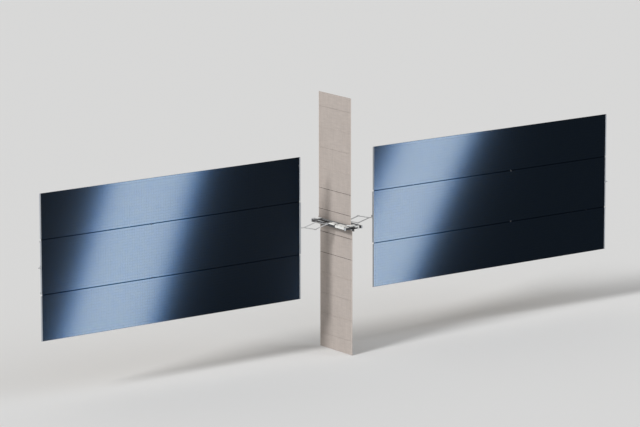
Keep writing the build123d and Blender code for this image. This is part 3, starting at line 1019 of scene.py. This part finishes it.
def makeStripHarness(name, strip, setup):
    # flat cables along the back edges of a strip, taped down at each batten
    bm, clips = bmesh.new(), bmesh.new()
    half = setup["cableWidth"] / 2
    front, back = setup["cableFaces"]
    reach, overFront, overBack = setup["crossing"]
    clipReach, clipFront, clipBack = setup["cableClip"]
    for z in setup["cableLines"][strip]:
        low, high = z - half, z + half
        for x0, x1 in bayStretches(0.014, 0.02, setup):
            addBox(bm, (x0, front, low), (x1, back, high))
        for bay in range(1, setup["bays"]):
            x = setup["start"] + bay * setup["bayWidth"]
            addBox(bm, (x - reach, overFront, low), (x + reach, overBack, high))
            clipLow = (x - clipReach, clipFront, low - 0.012)
            addBox(clips, clipLow, (x + clipReach, clipBack, high + 0.012), 0.0006)
    newWingPiece(bm, f"flatCables_{strip}", name, "amberFilm", strip)
    newWingPiece(clips, f"cableClips_{strip}", name, "fastener", strip)


def makeTipFitting(name, setup):
    # end roller, bolts and two latch pads on the T fitting
    x = setup["end"] + setup["barWidth"] + setup["tipFace"]
    bm = bmesh.new()
    for y, z in fourCorners(0, 0, *setup["tipBolts"]):
        addBolt(bm, (x, y, z), (1, 0, 0), "small")
    for start, length, radius in setup["tipRollers"]:
        addPin(bm, (x + start, 0, 0), (length, 0, 0), radius, 16)
    for z in (-setup["tipPads"], setup["tipPads"]):
        addBox(bm, (x - 0.004, -0.022, z - 0.010), (x + 0.016, 0.022, z + 0.010), 0.003)
    newWingPiece(bm, "tipFitting", name, "fastener")


def makeClipScrews(name, setup):
    bm = bmesh.new()
    x = setup["start"] + setup["clipColumn"] * cellFinish["pitch"]
    for z in (-setup["clipZ"], setup["clipZ"]):
        for place in (x - setup["clipScrews"], x + setup["clipScrews"]):
            addBolt(bm, (place, -0.012, z), (0, -1, 0))
        addPin(bm, (x - 0.012, -0.014, z), (0.024, 0, 0), 0.007)
    newWingPiece(bm, "clipScrews", name, "clipMetal")


yokeDetail = {
    "apex": 0.715,
    "knee": 1.50,
    "fork": 2.30,
    "rise": 0.20,
    "half": 0.023,
    "cableRadius": 0.0075,
    "clampStep": 0.19,
    "kneeBolts": 0.05,
    "kneeFace": 0.029,
    "hubFace": 0.681,
    "hubBolts": 0.034,
    "hubBolt": (0.0375, 0.0045),  # length and radius
    "stubBolts": (2.335, 2.385, 2.45, 2.49),
}


def makeYokeDetail(name, setup):
    cable, bm = bmesh.new(), bmesh.new()
    knee, fork, rise = setup["knee"], setup["fork"], setup["rise"]
    radius, step, face = setup["cableRadius"], setup["kneeBolts"], setup["kneeFace"]
    y = -setup["half"] - radius
    for up in (-1, 1):
        route = [
            Vector(place)
            for place in (
                (setup["apex"] + 0.07, y, up * 0.030),
                (knee - 0.09, y - 0.004, up * (rise - 0.018)),
                (knee + 0.09, y - 0.004, up * (rise - 0.018)),
                (fork - 0.06, y, up * 0.022),
                (fork + 0.08, y, up * 0.012),
                (fork + 0.19, y, up * 0.012),
            )
        ]
        addTube(cable, route, radius, 10)
        for start, end in (route[0:2], route[2:4]):
            flat = Vector((end.x - start.x, 0, end.z - start.z))
            way = flat.normalized() * 0.007
            count = int(flat.length / setup["clampStep"])
            for number in range(1, count + 1):
                centre = start.lerp(end, number / (count + 1))
                addRod(bm, centre - way, centre + way, radius + 0.003)
        for x in (knee - step, knee, knee + step):
            for side in (-1, 1):
                addBolt(bm, (x, side * face, up * (rise + 0.008)), (0, side, 0))
            addBolt(bm, (x, 0, up * (rise + face)), (0, 0, up))
    length, boltRadius = setup["hubBolt"]
    for y, z in boltCircle(setup["hubBolts"]):
        addPin(bm, (setup["hubFace"], y, z), (length, 0, 0), boltRadius, 6)
    for side in (-1, 1):
        for x in setup["stubBolts"]:
            addBolt(bm, (x, side * setup["half"], -0.014 * side), (0, side, 0), "medium")
    newWingPiece(cable, "yokeHarness", name, "whiteWrap")
    newWingPiece(bm, "yokeFittings", name, "fastener")


for name in sides:
    makeWingSeamTapes(name, wingDetail)
    makeSeamHinges(name, wingDetail, hingeDetail)
    makeMastFittings(name, mastDetail)
    makeBlanketStruts(name, wingDetail, mastDetail)
    makeTipFitting(name, wingDetail)
    makeClipScrews(name, wingDetail)
    makeYokeDetail(name, yokeDetail)
    for strip in ("middle", "upper", "lower"):
        makeBarClamps(name, strip, wingDetail)
        makeStripHarness(name, strip, wingDetail)
print("wing details made")

# Bus: insulation pads, covers, straps, unions, connectors and small instruments
busSizes = {
    "trayBottom": -0.130,
    "trayEnd": 1.530,
    "unionFace": 1.626,
    "railTop": 0.020,
    "fittingPlace": (0.585, 1.566),
    "fittingTop": 0.024,
}

padSetup = {
    "rise": 0.011,
    "wrinkle": 0.004,
    "step": 0.028,
    "top": (
        (-0.285, 0.285, -1.40, 1.40),
        (-0.470, -0.300, 0.10, 1.50),
        (0.300, 0.585, -1.50, -0.10),
        (0.300, 0.500, 0.10, 0.67),
    ),
    "bottom": ((-0.575, -0.05, -1.50, 1.50), (0.01, 0.575, -1.50, 1.50)),
    "buttonStep": 0.31,
    "buttonStart": 0.1,
    "buttonMargin": 0.03,
    "buttonDip": 0.06,
    "buttonNeck": (0.0085, 0.011),  # height and radius
    "buttonHead": (0.0105, 0.006),
    "folds": (9, 7),
    "crinkles": (23, 19),
}


def addPad(bm, area, level, up, setup):
    # a grid that wrinkles upwards, with its edge pulled down to the tray
    x0, x1, y0, y1 = area
    columns = max(3, round((x1 - x0) / setup["step"]))
    rows = max(3, round((y1 - y0) / setup["step"]))
    middle = Matrix.Translation(((x0 + x1) / 2, (y0 + y1) / 2, level))
    place = middle @ Matrix.Diagonal(((x1 - x0) / 2, (y1 - y0) / 2, 1, 1))
    made = bmesh.ops.create_grid(bm, x_segments=columns, y_segments=rows, size=1.0, matrix=place)
    step, first = setup["buttonStep"], setup["buttonStart"]
    (foldX, foldY), (fineX, fineY) = setup["folds"], setup["crinkles"]
    for vert in made["verts"]:
        x, y = vert.co.x, vert.co.y
        inside = min(x - x0, x1 - x, y - y0, y1 - y)
        lift = min(1.0, max(0.0, inside) / (setup["step"] * 1.5))
        fold = noise.noise(Vector((x * foldX, y * foldY, level)))
        fold += 0.5 * noise.noise(Vector((x * fineX, y * fineY, 3)))
        button = math.hypot((x - x0) % step - first, (y - y0) % step - first)
        dip = min(1.0, button / setup["buttonDip"])
        puff = setup["rise"] * (0.45 + 0.55 * dip) + setup["wrinkle"] * fold
        vert.co.z = level + up * (0.0006 + lift * puff)


def buttonPlaces(area, setup):
    x0, x1, y0, y1 = area
    step, first = setup["buttonStep"], setup["buttonStart"]
    columns = math.ceil((x1 - x0 - first - setup["buttonMargin"]) / step)
    rows = math.ceil((y1 - y0 - first - setup["buttonMargin"]) / step)
    return [
        (x0 + first + step * column, y0 + first + step * row)
        for column in range(columns)
        for row in range(rows)
    ]


def makePads(setup):
    (neckRise, neckRadius), (headRise, headRadius) = setup["buttonNeck"], setup["buttonHead"]
    for name, level, up in (("top", 0.0, 1), ("bottom", busSizes["trayBottom"], -1)):
        bm, buttons = bmesh.new(), bmesh.new()
        neck, head = level + up * neckRise, level + up * headRise
        for area in setup[name]:
            addPad(bm, area, level, up, setup)
            for x, y in buttonPlaces(area, setup):
                addRod(buttons, (x, y, level), (x, y, neck), neckRadius)
                addRod(buttons, (x, y, neck), (x, y, head), headRadius, 8)
        newPiece(bm, f"insulation_{name}", "bus", "trayFilm", smooth=True)
        newPiece(buttons, f"insulationButtons_{name}", "bus", "harnessBlack")


hoodSetup = {
    "x": (-0.622, -0.300),
    "start": -0.695,
    "top": 0.094,
    "round": 0.044,
    "gasketEnd": -0.622,
    "gasketRise": 0.002,
    "straps": (-0.53, -0.20),
    "strapWidth": 0.026,
    "strapRise": 0.0022,
    "hatch": ((-0.53, -0.455), (-0.39, -0.285)),
    "hatchInset": 0.008,
    "hatchRise": 0.004,
    "handleInset": 0.035,
    "footScrews": (-0.60, -0.44, -0.38, -0.28, -0.12),
}


def makeHoodDetail(setup):
    x0, x1 = setup["x"]
    top, rise = setup["top"], setup["gasketRise"]
    band = bmesh.new()
    low = (x0 - rise, setup["start"] + 0.001, 0.021)
    addStrap(band, low, (x1 + rise, setup["gasketEnd"], top + rise), setup["round"])
    newPiece(band, "hoodGasket", "bus", "blackTapeAndSeamShade")
    bm = bmesh.new()
    rise, width = setup["strapRise"], setup["strapWidth"]
    for y in setup["straps"]:
        high = (x1 + rise, y + width, top + rise)
        addStrap(bm, (x0 - rise, y, 0.0205), high, setup["round"])
        for x, way in ((x0 - rise, -1), (x1 + rise, 1)):
            addBolt(bm, (x, y + width / 2, 0.034), (way, 0, 0))
    newPiece(bm, "hoodStraps", "bus", "lightMetal")
    (hatchX0, hatchY0), (hatchX1, hatchY1) = setup["hatch"]
    middle, face = (hatchX0 + hatchX1) / 2, top + setup["hatchRise"]
    plate = bmesh.new()
    addBox(plate, (hatchX0, hatchY0, top - 0.002), (hatchX1, hatchY1, face), 0.006, 2)
    inset = setup["handleInset"]
    ends = ((middle, y, top + 0.003) for y in (hatchY0 + inset, hatchY1 - inset))
    addHandle(plate, *ends, (0, 0, 0.018), 0.004)
    newPiece(plate, "hoodHatch", "bus", "whitePaint")
    screws = bmesh.new()
    inset = setup["hatchInset"]
    for x in (hatchX0 + inset, middle, hatchX1 - inset):
        for y in (hatchY0 + inset, hatchY1 - inset):
            addPin(screws, (x, y, face), (0, 0, 0.0016), 0.0042, 8)
    for y in setup["footScrews"]:
        addBolt(screws, (x0, y, 0.030), (-1, 0, 0), "small")
    newPiece(screws, "hoodScrews", "bus", "fastener")


caseSetup = {
    "outer": 0.645,
    "edge": 0.600,
    "inner": 0.300,
    "near": 0.695,
    "topFar": 1.400,
    "shelf": 0.030,
    "tops": {"front": 0.080, "rear": 0.044},
    "ventTop": 0.06,  # only a case higher than this has vents
    "vents": 7,
    "ventRows": (0.040, 0.054),
    "lidGap": 0.012,
    "lidSplit": 0.045,
    "frameWidth": 0.016,
    "frameThick": 0.0028,
    "acrossShares": (0.03, 0.35, 0.65, 0.97),  # of a lid, where its screws are
    "alongShares": (0.25, 0.5, 0.75),
    "handleX": -0.37,
    "handles": (-0.17, 0.07),  # from the case's middle
    "handleWidth": 0.10,
    "connectors": (-0.345, -0.415, -0.485, -0.555),
    "connectorY": -1.462,
    "plug": (0.022, 0.0165),  # height and radius
    "plugRing": (0.004, 0.0225),
    "sideBolts": (-1.48, -0.744, 8),  # first, last and the steps between them
    "sideRows": (0.012, -0.062),
}


def makeCaseDetail(name, turn, setup):
    # built for the front case, and turned half round for the rear one
    top, thick = setup["tops"][name], setup["frameThick"]
    middle = -(setup["near"] + setup["topFar"]) / 2
    split, gap, edge = setup["lidSplit"], setup["lidGap"], setup["edge"]
    x0, x1 = gap - edge, -setup["inner"] - gap
    lids, screws, dark = bmesh.new(), bmesh.new(), bmesh.new()
    for y0, y1 in ((-setup["topFar"], middle - split), (middle + split, -setup["near"])):
        low, high = (x0, y0 + gap, top), (x1, y1 - gap, top + thick)
        addBox(lids, low, high, 0.001)
        inset = Vector((setup["frameWidth"], setup["frameWidth"], 0))
        rise = Vector((0, 0, thick))
        addBox(lids, Vector(low) + inset + rise, Vector(high) - inset + rise, 0.0015)
        places = [
            (x0 + (x1 - x0) * share, y)
            for share in setup["acrossShares"]
            for y in (y0 + 0.020, y1 - 0.020)
        ]
        places += [
            (x, y0 + (y1 - y0) * share)
            for share in setup["alongShares"]
            for x in (x0 + 0.008, x1 - 0.008)
        ]
        for x, y in places:
            addPin(screws, (x, y, top + thick), (0, 0, 0.0018), 0.0046, 8)
        if top > setup["ventTop"]:
            for y in spread(y0 + 0.07, y1 - 0.07, setup["vents"] - 1):
                for z in setup["ventRows"]:
                    low = (-edge - 0.0022, y - 0.011, z)
                    addBox(dark, low, (-edge + 0.001, y + 0.011, z + 0.006))
    for start in setup["handles"]:
        low = (setup["handleX"], middle + start, top + 0.004)
        high = Vector(low) + Vector((0, setup["handleWidth"], 0))
        addHandle(lids, low, high, (0, 0, 0.020), 0.0045)
    # connectors on the low shelf at the far end of the case
    for x in setup["connectors"]:
        for bm, (height, radius) in ((dark, setup["plug"]), (screws, setup["plugRing"])):
            addPin(bm, (x, setup["connectorY"], setup["shelf"]), (0, 0, height), radius, 16)
    for y in spread(*setup["sideBolts"]):
        for z in setup["sideRows"]:
            addBolt(screws, (-setup["outer"], y, z), (-1, 0, 0), "fine")
    for bm, piece, finish in (
        (lids, "caseLids", "whitePaint"),
        (screws, "caseScrews", "fastener"),
        (dark, "caseVents", "blackTapeAndSeamShade"),
    ):
        spin = Matrix.Rotation(turn, 3, "Z")
        bmesh.ops.rotate(bm, cent=(0, 0, 0), matrix=spin, verts=bm.verts)
        newPiece(bm, f"{piece}_{name}", "bus", finish)


lineSetup = {
    "y": 1.580,
    "radius": 0.0478,
    "bandWidth": 0.018,
    # place of each band and the way of the pipe there, both as x and z
    "bands": (
        ((-0.045, 0.112), (1, 0)),
        ((0.060, 0.081), (0.13, -0.102)),
        ((0.112, 0.040), (0.13, -0.102)),
        ((0.205, 0.010), (1, 0)),
        ((0.275, 0.010), (1, 0)),
        ((0.330, -0.050), (0, -1)),
    ),
    "unions": ((-0.12, 0.105), (-0.02, -0.150)),
    "unionBolts": (0.028, 0.026),
    "port": (0.33, -0.099),
    "portBolts": (0.030, 0.019),
    # start, length, radius and sides of the port's plug, downwards
    "plug": ((-0.130, 0.020, 0.024, 20), (-0.150, 0.008, 0.017, 6)),
}


def makeLineBands(name, ySide, setup):
    y, radius = ySide * setup["y"], setup["radius"]
    bm = bmesh.new()
    for (x, z), (wayX, wayZ) in setup["bands"]:
        pipe = Vector((wayX, 0, wayZ)).normalized()
        way = pipe * setup["bandWidth"] / 2
        centre = Vector((x, y, z))
        addRod(bm, centre - way, centre + way, radius, 20)
        side = pipe.cross(Vector((0, ySide, 0)))
        lift = centre + side * (radius if side.z > 0 else -radius)
        low = lift - Vector((0.008, 0.010, 0.005))
        addBox(bm, low, lift + Vector((0.008, 0.010, 0.007)), 0.001)
    newPiece(bm, f"lineBands_{name}", "bus", "lightMetal")
    # plugs and bolts on the unions and on the port block
    caps = bmesh.new()
    face = ySide * busSizes["unionFace"]
    head = (0, ySide * 0.003, 0)
    for x, z in setup["unions"]:
        addPin(caps, (x, face, z), (0, ySide * 0.006, 0), 0.017, 6)
        for boltX, boltZ in fourCorners(x, z, *setup["unionBolts"]):
            addPin(caps, (boltX, face, boltZ), head, 0.0045, 8)
    x, z = setup["port"]
    for boltX, boltZ in fourCorners(x, z, *setup["portBolts"]):
        addPin(caps, (boltX, face, boltZ), head, 0.005, 8)
    for start, length, radius, corners in setup["plug"]:
        addPin(caps, (x, y, start), (0, 0, -length), radius, corners)
    newPiece(caps, f"unionPlugs_{name}", "bus", "fastener")


feedSetup = {
    "radius": 0.034,
    "route": (
        (-0.150, -1.578, 0.100),
        (-0.200, -1.578, 0.100),
        (-0.224, -1.570, 0.099),
        (-0.232, -1.546, 0.098),
        (-0.232, -1.330, 0.088),
        (-0.232, -1.285, 0.078),
        (-0.232, -1.262, 0.052),
        (-0.232, -1.255, 0.0),
    ),
    "bands": ((-1.52, 0.0965), (-1.43, 0.0925), (-1.345, 0.0885)),
    "bandHalf": 0.008,
    "flange": (0.008, 0.016, 0.056),  # foot, top and radius
    "flangeBolts": 0.046,
}


def makeFeedLine(setup):
    # the insulated feed from the pump deck to the front union, before the radiator's foot
    radius = setup["radius"]
    bm = bmesh.new()
    addTube(bm, setup["route"], radius, 20)
    newPiece(bm, "feedLine", "bus", "whiteWrap", smooth=True)
    bands = bmesh.new()
    x, foot, _ = setup["route"][-1]
    half = setup["bandHalf"]
    for y, z in setup["bands"]:
        addPin(bands, (x, y - half, z), (0, 2 * half, 0), radius + 0.0016, 24)
        low = (x - half, y - half, z + radius - 0.002)
        addBox(bands, low, (x + half, y + half, z + radius + 0.007), 0.001)
    low, top, outer = setup["flange"]
    addRing(bands, (x, foot, low), (0, 0, 1), radius - 0.004, outer, top - low, 28)
    for dx, dy in boltCircle(setup["flangeBolts"], 6):
        addBolt(bands, (x + dx, foot + dy, top), (0, 0, 1), "fine")
    _, y, z = setup["route"][0]
    addPin(bands, (-0.158, y, z), (-0.012, 0, 0), radius + 0.006, 24)
    newPiece(bands, "feedBands", "bus", "lightMetal")


railSetup = {
    "first": -1.47,
    "step": 0.128,
    "count": 24,
    "driveGap": 0.12,
    "caseStart": 0.66,  # a case covers the rail from here on
    "middle": 0.611,
    "slotX": 0.614,
    "slotZ": -0.049,
    "ring": (0.0172, 0.027, 0.004),  # inner and outer radius, thickness
}


def makeRailDetail(setup):
    bm = bmesh.new()
    for side in (-1, 1):
        x, z = side * setup["slotX"], setup["slotZ"]
        for number in range(setup["count"]):
            y = setup["first"] + number * setup["step"]
            if abs(y) < setup["driveGap"] or y * side > setup["caseStart"]:
                continue
            addPin(bm, (x, y, z), (side * 0.005, 0, 0), 0.009, 6)
            addBolt(bm, (side * setup["middle"], y, busSizes["railTop"]), (0, 0, 1), "fine")
    for x, y in fourCorners(0, 0, *busSizes["fittingPlace"]):
        addRing(bm, (x, y, busSizes["fittingTop"]), (0, 0, 1), *setup["ring"])
        addRing(bm, (x, y, busSizes["trayBottom"]), (0, 0, -1), *setup["ring"])
        side = 1 if y > 0 else -1
        for z in (-0.095, -0.010):
            addBolt(bm, (x, y + side * 0.036, z), (0, side, 0), "large")
    newPiece(bm, "railScrews", "bus", "fastener")


driveSetup = {
    "face": 0.672,
    "boltCircle": 0.0525,
    "ringInner": 0.0595,
    "rings": ((0.606, 0.0665, 0.008), (0.655, 0.0630, 0.010)),  # x, outer radius, thickness
    "saddleBolts": ((0.532, 0.585), (-0.045, 0.045)),
    "plug": 0.558,
    # x and z of the cable from the plug down to the tray
    "cable": (
        (0.558, 0.073),
        (0.545, 0.083),
        (0.515, 0.076),
        (0.497, 0.045),
        (0.485, 0.022),
        (0.455, 0.0175),
        (0.31, 0.0175),
    ),
}


def makeDriveDetail(setup):
    bm, dark = bmesh.new(), bmesh.new()
    for side in (-1, 1):
        face, plug = side * setup["face"], side * setup["plug"]
        for y, z in boltCircle(setup["boltCircle"]):
            addPin(bm, (face, y, z), (side * 0.0035, 0, 0), 0.0048, 6)
        for x, outer, thick in setup["rings"]:
            addRing(bm, (side * x, 0, 0), (side, 0, 0), setup["ringInner"], outer, thick, 32)
        along, across = setup["saddleBolts"]
        for y in across:
            for x in along:
                addBolt(bm, (side * x, y, 0.060), (0, 0, 1))
        addPin(dark, (plug, 0.0, 0.060), (0, 0, 0.014), 0.016, 16)
        addTube(dark, [(side * x, 0.0, z) for x, z in setup["cable"]], 0.0075, 10)
    newPiece(bm, "driveScrews", "bus", "fastener")
    newPiece(dark, "driveCables", "bus", "harnessBlack")


instrumentSetup = {
    "sensorBox": ((-0.592, 0.50, 0.0), (-0.492, 1.02, 0.046)),
    "antennas": ((-0.530, 0.27), (0.545, 0.40)),
    "antennaBase": (0.016, 0.048),  # height and radius
    "antennaCap": (0.008, 0.042, 0.034),  # height and both radii
    "trackers": (-0.460, -0.330),
    "trackerZ": -0.012,
    "trackerBase": 1.600,
    "trackerHood": (0.0385, 0.0635, 0.089),  # both radii and depth
    "rim": (0.052, 0.004, 0.084, 0.091),  # half width, wall and depths
    "lens": 0.0185,
    "lensRing": (0.019, 0.026, 0.004),  # inner and outer radius, thickness
    "feet": 0.024,
    "baffles": ((0.020, 0.031), (0.045, 0.036), (0.070, 0.041)),  # depth and half width
}


def makeSensors(setup):
    (x0, y0, _), (x1, y1, top) = setup["sensorBox"]
    bm = bmesh.new()
    addBox(bm, *setup["sensorBox"], 0.007, 2)
    addBox(bm, (x0 + 0.014, y0 + 0.02, top), (x1 - 0.014, y1 - 0.02, top + 0.003), 0.001)
    (height, radius), (capHeight, wide, narrow) = setup["antennaBase"], setup["antennaCap"]
    for x, y in setup["antennas"]:
        addPin(bm, (x, y, 0.0), (0, 0, height), radius, 24)
        addPin(bm, (x, y, height), (0, 0, capHeight), wide, 24, endRadius=narrow)
    newPiece(bm, "sensorBox", "bus", "lightMetal")
    screws = bmesh.new()
    for y in (y0 + 0.01, y1 - 0.01, (y0 + y1) / 2):
        for x in (x0 + 0.008, x1 - 0.008):
            addPin(screws, (x, y, top), (0, 0, 0.003), 0.004, 8)
    return screws


def makeTrackers(setup, screws):
    # dark hoods, their baffles and lenses, and the fittings round them
    dark, lens = bmesh.new(), bmesh.new()
    base, z, feet = setup["trackerBase"], setup["trackerZ"], setup["feet"]
    inner, outer, length = setup["trackerHood"]
    rim, wall, rimStart, rimEnd = setup["rim"]
    quarter = Matrix.Rotation(math.radians(-90), 4, "X") @ Matrix.Rotation(math.radians(45), 4, "Z")
    for x in setup["trackers"]:
        bmesh.ops.create_cone(
            dark,
            cap_ends=False,
            segments=4,
            radius1=inner,
            radius2=outer,
            depth=length,
            matrix=Matrix.Translation((x, base + length / 2, z)) @ quarter,
        )
        for depth, half in setup["baffles"]:
            addFrame(dark, x, z, half, 0.008, base + depth, base + depth + 0.0015)
        addRing(screws, (x, base + 0.002, z), (0, 1, 0), *setup["lensRing"], 20)
        for footX, footZ in fourCorners(x, z, feet, feet):
            addPin(screws, (footX, base, footZ), (0, 0.003, 0), 0.0035, 6)
        for footX in (x - feet, x + feet):
            addBolt(screws, (footX, base - 0.035, z + 0.032), (0, 0, 1), "fine")
        addFrame(screws, x, z, rim, wall, base + rimStart, base + rimEnd, lap=0.002, edge=0.0006)
        flat = Matrix.Translation((x, base + 0.002, z)) @ Matrix.Diagonal((1, 0.4, 1, 1))
        bmesh.ops.create_uvsphere(
            lens, u_segments=20, v_segments=10, radius=setup["lens"], matrix=flat
        )
    newPiece(dark, "trackerBaffles", "bus", "blackTapeAndSeamShade")
    newPiece(screws, "instrumentScrews", "bus", "fastener")
    newPiece(lens, "trackerLenses", "bus", "lensGlass", smooth=True)


thrusterSetup = {
    "place": (0.470, -0.066),
    "flange": 1.564,
    "flangeBolts": 0.026,
    "valveY": 1.549,
    "valve": ((0.035, 0.037, 0.013, 16), (0.046, 0.010, 0.017, 6)),  # foot, height, radius, sides
    "lip": (1.657, 0.0462, 0.0508, 0.004),  # y, inner and outer radius, thickness
    "throat": (0.0135, 0.010),  # radius at each end
    # x, y and z of the feed tube, x and z from the thruster's axis
    "feed": (
        (0.0, 1.549, 0.070),
        (-0.004, 1.549, 0.082),
        (-0.03, 1.547, 0.084),
        (-0.08, 1.537, 0.05),
        (-0.085, 1.528, 0.03),
    ),
}


def makeThrusterDetail(setup):
    x, z = setup["place"]
    flange, y = setup["flange"], setup["valveY"]
    bm = bmesh.new()
    for boltX, boltZ in fourCorners(x, z, setup["flangeBolts"], setup["flangeBolts"]):
        addBolt(bm, (boltX, flange, boltZ), (0, 1, 0), "fine")
    for foot, height, radius, corners in setup["valve"]:
        addPin(bm, (x, y, z + foot), (0, 0, height), radius, corners)
    addTube(bm, [(x + dx, feedY, z + dz) for dx, feedY, dz in setup["feed"]], 0.0045)
    lipY, *ring = setup["lip"]
    addRing(bm, (x, lipY, z), (0, 1, 0), *ring, 32)
    newPiece(bm, "thrusterFittings", "bus", "thrusterMetal")
    throat = bmesh.new()
    wide, narrow = setup["throat"]
    addPin(throat, (x, flange + 0.0002, z), (0, 0.0038, 0), wide, 16, endRadius=narrow)
    newPiece(throat, "thrusterThroat", "bus", "blackTapeAndSeamShade")


endPlateSetup = {
    "spans": {-1: (-0.44, -0.20), 1: (0.06, 0.26)},
    "z": (-0.112, -0.030),
    "thick": 0.006,
    "connectors": 3,
    "connectorRing": (0.017, 0.023, 0.006),  # inner and outer radius, thickness
    "screwInset": 0.008,
}


def makeEndPanels(setup):
    # connector plates on both end faces of the tray, below the coolant lines
    bm, dark = bmesh.new(), bmesh.new()
    low, high = setup["z"]
    middle, inset = (low + high) / 2, setup["screwInset"]
    for ySide, (x0, x1) in setup["spans"].items():
        y = ySide * busSizes["trayEnd"]
        face = y + ySide * setup["thick"]
        y0, y1 = sorted((y, face))
        addBox(bm, (x0, y0, low), (x1, y1, high), 0.0015)
        for number in range(setup["connectors"]):
            x = x0 + (number + 0.5) * (x1 - x0) / setup["connectors"]
            addRing(bm, (x, face, middle), (0, ySide, 0), *setup["connectorRing"], 20)
            addPin(dark, (x, y + ySide * 0.004, middle), (0, ySide * 0.014, 0), 0.0168, 18)
        for x in (x0 + inset, x1 - inset):
            for z in (low + inset, high - inset):
                addPin(bm, (x, face, z), (0, ySide * 0.0025, 0), 0.004, 6)
    newPiece(bm, "endPlates", "bus", "railMetal")
    newPiece(dark, "endConnectors", "bus", "harnessBlack")


harnessSetup = {
    "z": 0.0195,
    "radius": 0.0080,
    "saddleStep": 0.22,
    "saddleRadius": 0.0105,
    "runs": (
        ((-0.285, -0.62), (-0.255, -0.58), (-0.255, 0.55), (-0.30, 0.62), (-0.49, 0.66)),
        ((0.285, 0.78), (0.250, 0.73), (0.250, -0.55), (0.220, -0.60), (0.220, -1.36)),
        (
            (-0.285, -1.10),
            (-0.235, -1.05),
            (-0.235, 1.05),
            (-0.290, 1.13),
            (-0.330, 1.30),
            (-0.330, 1.44),
        ),
    ),
    "trackerDrop": (-0.330, 1.52, 0.010),  # the last run dips to the trackers
}


def makeTrayHarness(setup):
    # cable runs held to the tray by saddles
    cable, saddles = bmesh.new(), bmesh.new()
    routes = [[Vector((x, y, setup["z"])) for x, y in run] for run in setup["runs"]]
    routes[-1].append(Vector(setup["trackerDrop"]))
    step, radius = setup["saddleStep"], setup["saddleRadius"]
    for route in routes:
        addTube(cable, route, setup["radius"], 10)
        for start, end in zip(route, route[1:]):
            length = (end - start).length
            way = (end - start).normalized() * 0.007
            across = Vector((-way.y, way.x, 0)).normalized() * 0.019
            dx, dy = abs(across.x) + 0.006, abs(across.y) + 0.006
            for number in range(1, int(length / step) + 1):
                centre = start.lerp(end, number * step / length)
                addRod(saddles, centre - way, centre + way, radius)
                low = centre - Vector((dx, dy, radius))
                addBox(saddles, low, centre + Vector((dx, dy, 0.003 - radius)))
    newPiece(cable, "trayHarness", "bus", "harnessBlack")
    newPiece(saddles, "harnessSaddles", "bus", "fastener")


makePads(padSetup)
makeHoodDetail(hoodSetup)
makeCaseDetail("front", 0.0, caseSetup)
makeCaseDetail("rear", math.pi, caseSetup)
makeLineBands("front", -1, lineSetup)
makeLineBands("rear", 1, lineSetup)
makeFeedLine(feedSetup)
makeRailDetail(railSetup)
makeDriveDetail(driveSetup)
makeTrackers(instrumentSetup, makeSensors(instrumentSetup))
makeThrusterDetail(thrusterSetup)
makeEndPanels(endPlateSetup)
makeTrayHarness(harnessSetup)
print("bus details made")


print("scene ready")
